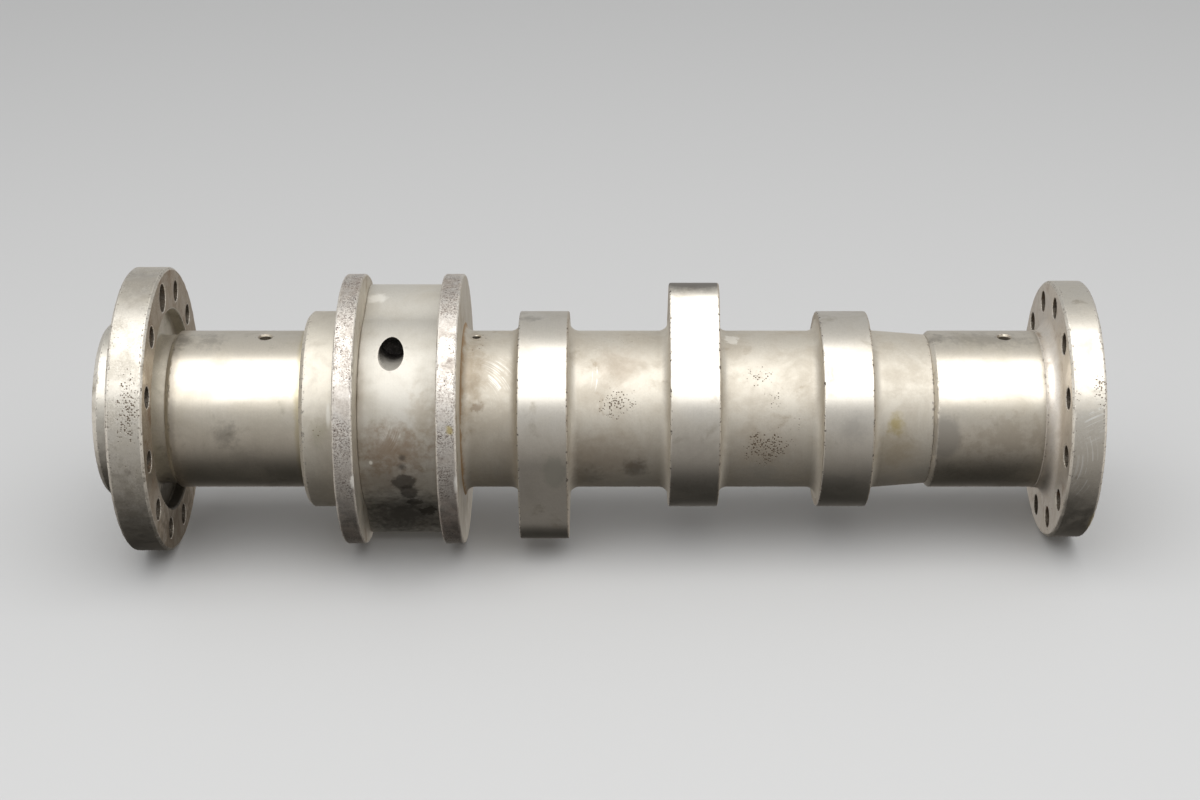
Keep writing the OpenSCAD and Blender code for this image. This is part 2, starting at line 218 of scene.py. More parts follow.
def cut(piece, cutters, wall):
    """Takes the cutters out of the piece; the new walls get the material `wall`."""
    for cutter in cutters:
        cutter.data.materials.clear()
        cutter.data.materials.append(wall)
        cutter.data.polygons.foreach_set(
            "material_index", np.zeros(len(cutter.data.polygons), np.int32)
        )
        tool = piece.modifiers.new("cut", "BOOLEAN")
        tool.operation = "DIFFERENCE"
        tool.solver = "EXACT"
        tool.object = cutter
    bpy.context.view_layer.update()
    finished = bpy.data.meshes.new_from_object(
        piece.evaluated_get(bpy.context.evaluated_depsgraph_get())
    )
    plain = piece.data
    piece.modifiers.clear()
    piece.data = finished
    finished.name = piece.name
    bpy.data.meshes.remove(plain)
    for cutter in cutters:
        bpy.data.objects.remove(cutter)


def finish_surface(piece, shape, lift=no_lift, mouths=()):
    """Smooth shading with crisp edges, and two attributes, for wear and for darkening near inner corners.

    "edge" is exp(-d / 0.9 mm) with d the distance to the nearest outer edge of the outline or
    to the nearest mouth (centre, axis, radius, and the shaft radius it breaks through when it is
    slanted); "nook" is exp(-d / 2.2 mm) for inner corners."""
    mesh = piece.data
    place = np.zeros(len(mesh.vertices) * 3, np.float32)
    mesh.vertices.foreach_get("co", place)
    place = place.reshape(-1, 3) / MM
    radius = np.hypot(place[:, 1], place[:, 2])
    lifts = lift(np.arctan2(place[:, 2], place[:, 1]))

    def nearest(rings):
        gap = np.full(len(place), 1e3)
        for x, r, *share in rings:
            gap = np.minimum(gap, np.hypot(place[:, 0] - x, radius - r - np.array(share) @ lifts))
        return gap

    to_edge = nearest(shape["edges"])
    for centre, axis, mouth, *skin in mouths:
        away = place - np.array(centre, float)
        deep = away @ np.array(axis, float)
        sideways = np.linalg.norm(away - deep[:, None] * np.array(axis, float), axis=1)
        if skin:
            deep = radius - skin[0]
        to_edge = np.minimum(to_edge, np.hypot(deep, sideways - mouth))
    for label, values in (
        ("edge", np.exp(-to_edge / 0.9)), ("nook", np.exp(-nearest(shape["nooks"]) / 2.2)),
    ):
        layer = mesh.attributes.new(label, "FLOAT", "POINT")
        layer.data.foreach_set("value", values.astype(np.float32))
    mesh.polygons.foreach_set("use_smooth", np.ones(len(mesh.polygons), bool))
    mesh.set_sharp_from_angle(angle=math.radians(30))
    mesh.update()


def add(tree, kind, settings, inputs):
    """Adds a node, with its settings, and with each input set to a value or joined to a socket."""
    node = tree.nodes.new(kind)
    for label, value in settings.items():
        setattr(node, label, value)
    for label, value in inputs.items():
        if isinstance(value, bpy.types.NodeSocket):
            tree.links.new(value, node.inputs[label])
        else:
            node.inputs[label].default_value = value
    return node


def calc(tree, operation, *numbers, clamp=False):
    """The result of one Math node."""
    settings = {"operation": operation, "use_clamp": clamp}
    return add(tree, "ShaderNodeMath", settings, dict(enumerate(numbers))).outputs[0]


def vector(tree, operation, inputs, output="Vector"):
    """The result of one Vector Math node."""
    return add(tree, "ShaderNodeVectorMath", {"operation": operation}, inputs).outputs[output]


def noise(tree, at, scale, detail, roughness=0.5, distortion=0.0, way="3D"):
    """Fractal noise at a place, or along a line if way is 1D: a value near 0.5, and a colour."""
    label = "W" if way == "1D" else "Vector"
    return add(tree, "ShaderNodeTexNoise", {"noise_dimensions": way}, {
        label: at, "Scale": scale, "Detail": detail, "Roughness": roughness,
        "Distortion": distortion,
    }).outputs


def sway(tree, ripple, amount, base):
    """The base, moved up and down by the amount as the ripple swings about 0.5."""
    return calc(tree, "MULTIPLY_ADD", calc(tree, "SUBTRACT", ripple, 0.5), amount, base)


def fade(tree, value, low, high):
    """Smooth step of the value, from 0 at low to 1 at high."""
    settings = {"interpolation_type": "SMOOTHSTEP"}
    inputs = {"Value": value, "From Min": low, "From Max": high}
    return add(tree, "ShaderNodeMapRange", settings, inputs).outputs["Result"]


def mix(tree, factor, below, above):
    """Colour that goes from below to above as the factor goes from 0 to 1."""
    inputs = {0: factor, 6: below, 7: above}
    return add(tree, "ShaderNodeMix", {"data_type": "RGBA"}, inputs).outputs[2]


def new_group(name, inputs, outputs):
    """An empty shader node group with named inputs (label, type, value) and outputs."""
    tree = bpy.data.node_groups.new(name, "ShaderNodeTree")
    for label, kind, value in inputs:
        socket = tree.interface.new_socket(label, in_out="INPUT", socket_type="NodeSocket" + kind)
        socket.default_value = value
    for label, kind in outputs:
        tree.interface.new_socket(label, in_out="OUTPUT", socket_type="NodeSocket" + kind)
    return tree, tree.nodes.new("NodeGroupInput").outputs, tree.nodes.new("NodeGroupOutput").inputs


def use(tree, group, inputs):
    """Places a node group in a material or in another group, and returns its outputs."""
    return add(tree, "ShaderNodeGroup", {"node_tree": group}, inputs).outputs


def make_shaft_place():
    """Where a point is on the shaft, in millimetres: its place, x, radius, and x plus radius."""
    tree, _, out = new_group("shaft place", [], [
        ("Place", "Vector"), ("Along", "Float"), ("Radius", "Float"), ("Lathe", "Float"),
    ])
    here = add(tree, "ShaderNodeTexCoord", {}, {}).outputs["Object"]
    place = vector(tree, "SCALE", {0: here, "Scale": 1 / MM})
    along, across, up = add(tree, "ShaderNodeSeparateXYZ", {}, {0: place}).outputs
    spoke = add(tree, "ShaderNodeCombineXYZ", {}, {1: across, 2: up}).outputs[0]
    radius = vector(tree, "LENGTH", {0: spoke}, "Value")
    tree.links.new(place, out["Place"])
    tree.links.new(along, out["Along"])
    tree.links.new(radius, out["Radius"])
    tree.links.new(calc(tree, "ADD", along, radius), out["Lathe"])
    return tree


def make_blotches():
    """Cloudy patches: noise of a given size, cut off so that they cover a given share."""
    tree, given, out = new_group("blotches", [
        ("Place", "Vector", (0, 0, 0)), ("Size", "Float", 20.0), ("Cover", "Float", 0.5),
        ("Soft", "Float", 0.06),
    ], [("Mask", "Float")])
    scale = calc(tree, "DIVIDE", 1.0, given["Size"])
    cloud = noise(tree, given["Place"], scale, 6.0, 0.62, 0.4)["Fac"]
    level = calc(tree, "MULTIPLY_ADD", given["Cover"], -0.44, 0.72)
    low = calc(tree, "SUBTRACT", level, given["Soft"])
    high = calc(tree, "ADD", level, given["Soft"])
    tree.links.new(fade(tree, cloud, low, high), out["Mask"])
    return tree


def make_pits():
    """Corrosion pits: round cells of random size, of which only a given share is a pit."""
    tree, given, out = new_group("pits", [
        ("Place", "Vector", (0, 0, 0)), ("Size", "Float", 1.0), ("Amount", "Float", 0.3),
    ], [("Mask", "Float")])
    scale = calc(tree, "DIVIDE", 1.0, given["Size"])
    wobble = noise(tree, given["Place"], calc(tree, "MULTIPLY", scale, 2.2), 2.0)["Color"]
    shaken = vector(tree, "MULTIPLY_ADD", {
        0: wobble, 1: calc(tree, "MULTIPLY", given["Size"], 0.5), 2: given["Place"],
    })
    cells = add(tree, "ShaderNodeTexVoronoi", {}, {"Vector": shaken, "Scale": scale}).outputs
    chance = add(tree, "ShaderNodeSeparateColor", {}, {0: cells["Color"]}).outputs[0]
    needed = calc(tree, "SUBTRACT", 1.0, given["Amount"])
    size = calc(tree, "MULTIPLY", calc(tree, "SUBTRACT", chance, needed), 1.1)
    inside = calc(tree, "SUBTRACT", calc(tree, "MINIMUM", size, 0.62), cells["Distance"])
    tree.links.new(calc(tree, "MULTIPLY", inside, 6.0, clamp=True), out["Mask"])
    return tree


def make_spot():
    """One stain with a ragged rim: an ellipsoid about a centre, disturbed by noise."""
    tree, given, out = new_group("spot", [
        ("Place", "Vector", (0, 0, 0)), ("Centre", "Vector", (0, 0, 0)),
        ("Size", "Vector", (5, 5, 5)), ("Ragged", "Float", 0.5), ("Soft", "Float", 0.5),
    ], [("Mask", "Float")])
    away = vector(tree, "SUBTRACT", {0: given["Place"], 1: given["Centre"]})
    shrunk = vector(tree, "DIVIDE", {0: away, 1: given["Size"]})
    far = vector(tree, "LENGTH", {0: shrunk}, "Value")
    ripple = noise(tree, given["Place"], 0.22, 5.0, 0.65)["Fac"]
    reach = sway(tree, ripple, calc(tree, "MULTIPLY", given["Ragged"], 3.0), far)
    low = calc(tree, "MULTIPLY_ADD", given["Soft"], -0.8, 0.9)
    high = calc(tree, "MULTIPLY_ADD", given["Soft"], 0.3, 1.0)
    tree.links.new(calc(tree, "SUBTRACT", 1.0, fade(tree, reach, low, high)), out["Mask"])
    return tree


def make_ring_mark():
    """A mark that runs round the shaft at one place along it and one radius."""
    tree, given, out = new_group("ring mark", [
        ("Place", "Vector", (0, 0, 0)), ("Along", "Float", 0.0), ("Radius", "Float", 0.0),
        ("At", "Float", 0.0), ("Height", "Float", 0.0), ("Width", "Float", 2.0),
        ("Ragged", "Float", 0.5),
    ], [("Mask", "Float")])
    side = calc(tree, "SUBTRACT", given["Along"], given["At"])
    rise = calc(tree, "SUBTRACT", given["Radius"], given["Height"])
    far = calc(tree, "SQRT", calc(
        tree, "ADD", calc(tree, "MULTIPLY", side, side), calc(tree, "MULTIPLY", rise, rise)
    ))
    ripple = noise(tree, given["Place"], 0.16, 5.0, 0.7)["Fac"]
    thin = sway(tree, ripple, given["Ragged"], 0.5)
    width = calc(tree, "MULTIPLY", calc(tree, "MULTIPLY", thin, 2.0), given["Width"])
    near = calc(tree, "SUBTRACT", 1.0, fade(tree, calc(tree, "DIVIDE", far, width), 0.15, 1.0))
    tree.links.new(near, out["Mask"])
    return tree


def make_scratches():
    """Thin arcs, as something hard leaves when it swings past: where the distance from the
    middle of the swing crosses a level of one-dimensional noise, broken up along its length."""
    tree, given, out = new_group("scratches", [
        ("Place", "Vector", (0, 0, 0)), ("Swing", "Vector", (0, 0, 0)),
    ], [("Mask", "Float")])
    reach = vector(tree, "DISTANCE", {0: given["Place"], 1: given["Swing"]}, "Value")
    wave = noise(tree, reach, 0.42, 2.0, way="1D")["Fac"]
    away = calc(tree, "ABSOLUTE", calc(tree, "SUBTRACT", wave, 0.5))
    line = calc(tree, "SUBTRACT", 1.0, fade(tree, away, 0.01, 0.035))
    gaps = noise(tree, given["Place"], 0.16, 3.0)["Fac"]
    tree.links.new(calc(tree, "MULTIPLY", line, fade(tree, gaps, 0.44, 0.54)), out["Mask"])
    return tree


def make_aged_steel():
    """Steel that has worked in oil and then stood about: clean metal, dull patches, stains,
    pits, turning marks, bright edges and a darker colour near inner corners. Height is in millimetres."""
    tree, given, out = new_group("aged steel", [
        ("Clean", "Color", (0.6, 0.57, 0.5, 1)), ("Dull", "Color", (0.4, 0.37, 0.32, 1)),
        ("Stain", "Color", (0.2, 0.13, 0.08, 1)), ("Pit", "Color", (0.06, 0.045, 0.035, 1)),
        ("Dull cover", "Float", 0.4), ("Dull size", "Float", 14.0),
        ("Stain cover", "Float", 0.1), ("Stain size", "Float", 22.0),
        ("Pit amount", "Float", 0.1), ("Pit size", "Float", 1.2), ("Pit depth", "Float", 0.1),
        ("Edge wear", "Float", 0.5), ("Chips", "Float", 0.5), ("Grain", "Float", 0.15),
        ("Dirt", "Float", 0.5), ("Turning", "Float", 0.003),
        ("Gloss", "Float", 0.3), ("Matt", "Float", 0.5),
    ], [("Colour", "Color"), ("Roughness", "Float"), ("Height", "Float")])
    spot = use(tree, groups["place"], {})
    dull = use(tree, groups["blotches"], {
        "Place": spot["Place"], "Size": given["Dull size"], "Cover": given["Dull cover"],
        "Soft": 0.14,
    })["Mask"]
    far_off = vector(tree, "ADD", {0: spot["Place"], 1: (310.0, 70.0, -45.0)})
    stain = use(tree, groups["blotches"], {
        "Place": far_off, "Size": given["Stain size"], "Cover": given["Stain cover"], "Soft": 0.09,
    })["Mask"]
    speckle = noise(tree, spot["Place"], 1.1, 4.0, 0.7)["Fac"]
    patchy = fade(tree, noise(tree, far_off, 0.07, 3.0)["Fac"], 0.38, 0.62)
    amount = calc(tree, "MULTIPLY", given["Pit amount"], calc(tree, "MULTIPLY_ADD", patchy, 0.8, 0.35))
    big = use(tree, groups["pits"], {
        "Place": spot["Place"], "Size": given["Pit size"], "Amount": amount,
    })["Mask"]
    small = use(tree, groups["pits"], {
        "Place": far_off, "Size": calc(tree, "MULTIPLY", given["Pit size"], 0.45),
        "Amount": amount,
    })["Mask"]
    pit = calc(tree, "MAXIMUM", big, calc(tree, "MULTIPLY", small, 0.8))
    lathe = calc(tree, "MULTIPLY_ADD", speckle, 0.05, spot["Lathe"])
    lines = noise(tree, lathe, 1.6, 6.0, 0.75, way="1D")["Fac"]
    edge = add(tree, "ShaderNodeAttribute", {"attribute_name": "edge"}, {}).outputs["Fac"]
    nook = add(tree, "ShaderNodeAttribute", {"attribute_name": "nook"}, {}).outputs["Fac"]
    chipped = sway(tree, speckle, 0.9, edge)
    bare = calc(tree, "MULTIPLY", fade(tree, chipped, 0.6, 0.95), given["Edge wear"])
    bite = fade(tree, noise(tree, spot["Place"], 0.62, 3.0, 0.6)["Fac"], 0.57, 0.63)
    chip = calc(tree, "MULTIPLY", calc(tree, "MULTIPLY", bite, fade(tree, edge, 0.22, 0.5)), given["Chips"])
    pit = calc(tree, "MAXIMUM", pit, chip)
    sand = noise(tree, far_off, 1.15, 3.0, 0.8)["Fac"]
    sandy = calc(tree, "MULTIPLY", calc(tree, "MULTIPLY_ADD", patchy, 0.75, 0.25), given["Grain"])
    grain = calc(tree, "MULTIPLY", fade(tree, sand, 0.5, 0.62), sandy)
    glint = calc(tree, "SUBTRACT", 1.0, fade(tree, sand, 0.38, 0.5))
    glint = calc(tree, "MULTIPLY", glint, calc(tree, "MULTIPLY", sandy, 0.8))
    # Darker brown-black colour near inner corners, following the nook attribute.
    near_corner = fade(tree, sway(tree, speckle, 0.8, nook), 0.25, 0.9)
    corner_darkness = calc(tree, "MULTIPLY", near_corner, given["Dirt"])
    tint = sway(tree, speckle, 0.22, sway(tree, lines, 0.1, 1.0))
    colour = mix(tree, dull, given["Clean"], given["Dull"])
    colour = vector(tree, "SCALE", {0: colour, "Scale": tint})
    colour = mix(tree, calc(tree, "MAXIMUM", stain, grain), colour, given["Stain"])
    colour = mix(tree, glint, colour, (0.8, 0.77, 0.72, 1))
    colour = mix(tree, pit, colour, given["Pit"])
    colour = mix(tree, bare, colour, (0.74, 0.7, 0.63, 1))
    colour = mix(tree, corner_darkness, colour, (0.1, 0.07, 0.045, 1))
    rough = calc(tree, "MAXIMUM", dull, stain)
    spread = calc(tree, "SUBTRACT", given["Matt"], given["Gloss"])
    rough = calc(tree, "MULTIPLY_ADD", rough, spread, given["Gloss"])
    rough = sway(tree, speckle, 0.12, sway(tree, lines, 0.05, rough))
    rough = calc(tree, "MULTIPLY_ADD", calc(tree, "MAXIMUM", pit, corner_darkness), 0.3, rough, clamp=True)
    height = calc(tree, "MULTIPLY", lines, given["Turning"])
    sunk = calc(tree, "MULTIPLY", pit, given["Pit depth"])
    height = calc(tree, "SUBTRACT", height, sunk)
    height = calc(tree, "MULTIPLY_ADD", speckle, calc(tree, "MULTIPLY", given["Turning"], 0.8), height)
    tree.links.new(colour, out["Colour"])
    tree.links.new(rough, out["Roughness"])
    tree.links.new(height, out["Height"])
    return tree


groups = {
    "place": make_shaft_place(), "blotches": make_blotches(), "pits": make_pits(),
    "spot": make_spot(), "ring": make_ring_mark(), "scratches": make_scratches(),
}
groups["aged"] = make_aged_steel()


def steel(name, marks=(), clusters=(), scratches=(), metallic=1.0, **values):
    """A steel material: the aged steel group with this piece's values, then its own marks.

    A mark is (centre, size, ragged, soft, colour, strength) for a spot, or (x, radius, width,
    ragged, colour, strength) for a mark that runs round the shaft. A cluster is (centre, size,
    amount) of extra pits. Scratches are (middle of the swing, centre, size) of a patch."""
    material = bpy.data.materials.new(name)
    material.use_nodes = True
    tree = material.node_tree
    tree.nodes.clear()
    labels = {label.replace("_", " ").capitalize(): value for label, value in values.items()}
    aged = use(tree, groups["aged"], labels)
    place = use(tree, groups["place"], {})
    colour, rough, height = aged["Colour"], aged["Roughness"], aged["Height"]
    for centre, size, amount in clusters:
        within = use(tree, groups["spot"], {
            "Place": place["Place"], "Centre": centre, "Size": size, "Ragged": 0.5, "Soft": 1.0,
        })["Mask"]
        pit = use(tree, groups["pits"], {
            "Place": place["Place"], "Size": 0.85, "Amount": calc(tree, "MULTIPLY", within, amount),
        })["Mask"]
        colour = mix(tree, calc(tree, "MULTIPLY", pit, 0.85), colour, (0.11, 0.075, 0.045, 1))
        height = calc(tree, "MULTIPLY_ADD", pit, -0.12, height)
    for swing, centre, size in scratches:
        within = use(tree, groups["spot"], {
            "Place": place["Place"], "Centre": centre, "Size": size, "Ragged": 0.3, "Soft": 1.0,
        })["Mask"]
        line = calc(tree, "MULTIPLY", use(tree, groups["scratches"], {
            "Place": place["Place"], "Swing": swing,
        })["Mask"], within)
        colour = mix(tree, calc(tree, "MULTIPLY", line, 0.75), colour, (0.93, 0.92, 0.88, 1))
    for *shape, paint, strength in marks:
        if isinstance(shape[0], tuple):
            mask = use(tree, groups["spot"], {
                "Place": place["Place"], "Centre": shape[0], "Size": shape[1],
                "Ragged": shape[2], "Soft": shape[3],
            })["Mask"]
        else:
            mask = use(tree, groups["ring"], {
                "Place": place["Place"], "Along": place["Along"], "Radius": place["Radius"],
                "At": shape[0], "Height": shape[1], "Width": shape[2], "Ragged": shape[3],
            })["Mask"]
        mask = calc(tree, "MULTIPLY", mask, strength)
        colour = mix(tree, mask, colour, paint)
        rough = calc(tree, "MULTIPLY_ADD", mask, 0.12, rough)
    bump = add(tree, "ShaderNodeBump", {}, {"Height": height, "Distance": MM})
    surface = add(tree, "ShaderNodeBsdfPrincipled", {}, {
        "Base Color": colour, "Roughness": rough, "Normal": bump.outputs[0],
        "Metallic": metallic,
    })
    output = tree.nodes.new("ShaderNodeOutputMaterial")
    tree.links.new(surface.outputs[0], output.inputs["Surface"])
    return material


def on_shaft(x, angle, radius):
    """Place in millimetres of a point at an angle (degrees from +Y towards +Z) and a radius."""
    turn = math.radians(angle)
    return (x, radius * math.cos(turn), radius * math.sin(turn))


SATIN = (0.625, 0.585, 0.51, 1)
SATIN_DULL = (0.55, 0.505, 0.43, 1)
BRIGHT = (0.69, 0.65, 0.58, 1)
BRIGHT_DULL = (0.59, 0.55, 0.48, 1)
BROWN = (0.24, 0.16, 0.09, 1)
SOOT = (0.07, 0.06, 0.05, 1)
YELLOW = (0.44, 0.36, 0.15, 1)
PALE = (0.85, 0.83, 0.78, 1)

shank_steel = steel(
    "shank steel", clean=BRIGHT, dull=BRIGHT_DULL, stain=BROWN, dull_cover=0.4, stain_cover=0.15,
    pit_amount=0.04, gloss=0.32, matt=0.5, dirt=0.6,
)
neck_steel = steel(
    "neck steel", clean=SATIN, dull=SATIN_DULL, stain=(0.42, 0.36, 0.28, 1), dull_cover=0.45,
    dull_size=18.0, stain_cover=0.1, stain_size=14.0, pit_amount=0.07, pit_size=1.0,
    pit_depth=0.06, edge_wear=0.3, dirt=0.05, grain=0.1, turning=0.003, gloss=0.58, matt=0.66,
    marks=[
        (168.6, 44.0, 3.0, 1.6, (0.36, 0.22, 0.1, 1), 0.85),
        (on_shaft(171.0, 125, 41), (9, 32, 32), 0.8, 1.0, (0.34, 0.25, 0.15, 1), 0.4),
        (on_shaft(254.5, 203, 40), (7, 6, 7), 0.5, 0.8, (0.12, 0.105, 0.085, 1), 0.65),
        (on_shaft(238.0, 192, 40), (26, 16, 16), 0.5, 1.0, BROWN, 0.36),
        (on_shaft(247.0, 122, 40), (14, 13, 13), 0.6, 1.0, (0.46, 0.38, 0.3, 1), 0.35),
        (on_shaft(230.0, 215, 40), (9, 9, 12), 0.5, 1.0, (0.12, 0.1, 0.07, 1), 0.4),
        (on_shaft(318.9, 184, 40), (20, 16, 16), 0.5, 1.0, BROWN, 0.2),
        (on_shaft(303.0, 94, 40), (4, 5, 4), 0.9, 0.3, PALE, 0.6),
        (on_shaft(176.5, 154, 40), (3, 3, 3), 0.8, 0.6, BROWN, 0.45),
        (on_shaft(383.6, 166.4, 38.5), (5, 5, 6), 0.6, 1.0, YELLOW, 0.75),
        (on_shaft(384.5, 162, 38.5), (2.2, 1, 1.6), 0.7, 0.5, BROWN, 0.5),
        (on_shaft(382.0, 186, 38.5), (14, 12, 13), 0.6, 1.0, (0.32, 0.24, 0.12, 1), 0.35),
    ],
    clusters=[
        (on_shaft(319.5, 185, 40), (15, 12, 13), 1.0),
        (on_shaft(316.0, 130, 40), (9, 8, 8), 0.6),
        (on_shaft(322.6, 148.2, 40), (8, 8, 8), 0.5),
        (on_shaft(335.0, 170, 40), (5, 12, 12), 0.4),
        (on_shaft(245.5, 151, 40), (13, 9, 9), 0.75),
        (on_shaft(250.0, 95, 40), (18, 9, 6), 0.35),
        (on_shaft(175.0, 100, 40), (5, 16, 16), 0.5),
    ],
    scratches=[
        (on_shaft(169.0, 157, 40), on_shaft(186.0, 132, 40), (8, 14, 14)),
        (on_shaft(200.0, 130, 40), on_shaft(234.6, 130, 40), (2.4, 9, 9)),
    ],
)
cam_side_steel = steel(
    "cam side steel", clean=(0.56, 0.51, 0.43, 1), dull=(0.44, 0.39, 0.32, 1), stain=BROWN,
    dull_cover=0.5, stain_cover=0.1, pit_amount=0.1, gloss=0.46, matt=0.6, turning=0.005,
    edge_wear=0.5, chips=0.8, dirt=0.3, grain=0.2,
)
cam_track_steel = steel(
    "cam track steel", clean=BRIGHT, dull=BRIGHT_DULL, stain=(0.46, 0.42, 0.35, 1),
    dull_cover=0.4, dull_size=20.0, stain_cover=0.14, stain_size=16.0, pit_amount=0.04,
    pit_size=0.9, pit_depth=0.04, edge_wear=0.3, chips=0.9, grain=0.08, turning=0.001,
    gloss=0.34, matt=0.44,
    marks=[
        (on_shaft(284.0, 82, 67), (24, 12, 6), 0.25, 0.5, (0.17, 0.155, 0.14, 1), 0.85),
        (on_shaft(214.5, 194, 51), (6.5, 7, 11), 0.25, 0.35, (0.38, 0.37, 0.32, 1), 0.6),
        (on_shaft(202.0, 206, 54), (6, 9, 12), 0.5, 1.0, (0.4, 0.37, 0.32, 1), 0.4),
        (on_shaft(202.5, 90, 50), (6, 4, 3), 0.8, 0.8, SOOT, 0.3),
        (on_shaft(361.0, 166, 52), (9, 8, 9), 0.6, 1.0, (0.36, 0.34, 0.31, 1), 0.45),
        (on_shaft(284.0, 175, 50), (14, 8, 10), 0.8, 1.0, (0.42, 0.39, 0.34, 1), 0.35),
    ],
)
oil_bore_steel = steel(
    "oil bore steel", clean=(0.5, 0.46, 0.38, 1), dull=(0.3, 0.26, 0.21, 1), stain=BROWN,
    dull_cover=0.4, dull_size=5.0, stain_cover=0.15, grain=0.3, gloss=0.4, matt=0.6,
)

SHANK_R, STUB_R, NECK_R, GALLERY_R, PLUG_R = 32.0, 30.0, 40.0, 7.0, 10.0
LEFT_END, RIGHT_END, PLUG_DEPTH = 10.0, 471.0, 12.0
LEFT_JOINT, SHOULDER, TAPER, RIGHT_JOINT = 89.3, 168.0, 377.6, 402.5
BASE_R, NOSE_TOP, NOSE_R, ROOT_FILLET = 50.0, 66.5, 18.0, 5.0
CAM_SIDE_R, CAM_BLEND_R = 46.0, 47.3
CAM_NOSES = (238.0, 85.0, -25.0)
CAM_STARTS, CAM_WIDTH = (196.2, 271.6, 347.0), 25.0
LEFT_OIL_X, NECK_OIL_X, RIGHT_OIL_X = 68.0, 174.5, 441.0
OIL_R, NECK_OIL_R = 3.0, 2.0
FUEL_KEY_W, JOURNAL_KEY_W, JOURNAL_KEY_LEN, KEY_END_GAP = 18.0, 16.0, 45.0, 2.5
FUEL_KEY_FLOOR, FUEL_KEY_TOP, JOURNAL_KEY_FLOOR, JOURNAL_KEY_TOP = -25.4, -36.4, -24.0, -34.0
ALONG, UP, DOWN = (1, 0, 0), (0, 0, 1), (0, 0, -1)


def cam_lifts(angle):
    """How far each valve cam stands above its base circle at an angle round the shaft.

    With d the angle from the nose: beyond the flank angle f it is the base circle; down to the
    nose it is a flat, base / cos(d - f); over the nose it is the nose's own circle."""
    reach = NOSE_TOP - NOSE_R
    flank = math.acos((BASE_R - NOSE_R) / reach)
    crown = math.atan2(NOSE_R * math.sin(flank), reach + NOSE_R * math.cos(flank))
    lifts = []
    for nose in CAM_NOSES:
        away = np.abs((angle - math.radians(nose) + math.pi) % (2 * math.pi) - math.pi)
        flat = BASE_R / np.cos(np.clip(away - flank, -1.5, 0))
        tip = np.minimum(away, crown)
        round_tip = reach * np.cos(tip) + np.sqrt(NOSE_R**2 - (reach * np.sin(tip)) ** 2)
        lifts.append(np.where(away < crown, round_tip, flat) - BASE_R)
    return np.array(lifts)


SHANK, NECK, CAM_SIDE, CAM_TRACK = 0, 1, 2, 3
body_corners = [
    (LEFT_END, PLUG_R, 0.4, SHANK), (LEFT_END, STUB_R, 0.8, SHANK),
    (LEFT_JOINT, STUB_R, 0, SHANK), (LEFT_JOINT, SHANK_R, 0, SHANK),
    (SHOULDER, SHANK_R, 0, SHANK), (SHOULDER, 44.3, 0, NECK),
    (SHOULDER + 0.654, NECK_R, ROOT_FILLET, NECK),
]
for number, face in enumerate(CAM_STARTS):
    own = tuple(float(number == other) for other in range(3))
    back = face + CAM_WIDTH
    body_corners += [
        (face, NECK_R, ROOT_FILLET, NECK), (face, CAM_SIDE_R, 0, CAM_SIDE),
        (face, CAM_BLEND_R, 0, CAM_SIDE, own), (face, BASE_R, 0.8, CAM_TRACK, own),
        (back, BASE_R, 0.8, CAM_SIDE, own), (back, CAM_BLEND_R, 0, CAM_SIDE, own),
        (back, CAM_SIDE_R, 0, NECK), (back, NECK_R, ROOT_FILLET, NECK),
    ]
body_corners += [
    (TAPER, NECK_R, 3, NECK), (RIGHT_JOINT, 38, 0.4, NECK), (RIGHT_JOINT, STUB_R, 0, SHANK),
    (RIGHT_END, STUB_R, 0.8, SHANK), (RIGHT_END, PLUG_R, 0.4, SHANK),
    (RIGHT_END - PLUG_DEPTH, PLUG_R, 0, SHANK), (RIGHT_END - PLUG_DEPTH, GALLERY_R, 0, SHANK),
    (LEFT_END + PLUG_DEPTH, GALLERY_R, 0, SHANK), (LEFT_END + PLUG_DEPTH, PLUG_R, 0, SHANK),
]
body_shape = outline(body_corners, 8.0)
body = turned("forged_body", body_shape, cam_lifts, 216, nicks=0.3)
for finish in (shank_steel, neck_steel, cam_side_steel, cam_track_steel, oil_bore_steel):
    body.data.materials.append(finish)
cut(body, [
    drill((NECK_OIL_X, 0, NECK_R), DOWN, 34, NECK_OIL_R, 0.5),
    drill((LEFT_OIL_X, 0, STUB_R), DOWN, 24, OIL_R),
    drill((RIGHT_OIL_X, 0, STUB_R), DOWN, 24, OIL_R),
    slot_cutter(
        LEFT_JOINT + KEY_END_GAP, SHOULDER - KEY_END_GAP, FUEL_KEY_W, FUEL_KEY_TOP, FUEL_KEY_FLOOR, True
    ),
    slot_cutter(
        LEFT_JOINT - KEY_END_GAP - JOURNAL_KEY_LEN, LEFT_JOINT - KEY_END_GAP, JOURNAL_KEY_W,
        JOURNAL_KEY_TOP, JOURNAL_KEY_FLOOR, True,
    ),
    slot_cutter(
        RIGHT_JOINT + KEY_END_GAP, RIGHT_JOINT + KEY_END_GAP + JOURNAL_KEY_LEN, JOURNAL_KEY_W,
        JOURNAL_KEY_TOP, JOURNAL_KEY_FLOOR, True,
    ),
], oil_bore_steel)
finish_surface(body, body_shape, cam_lifts, [((NECK_OIL_X, 0, NECK_R), UP, NECK_OIL_R + 0.5)])
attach(body, "root")
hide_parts("cam_body")

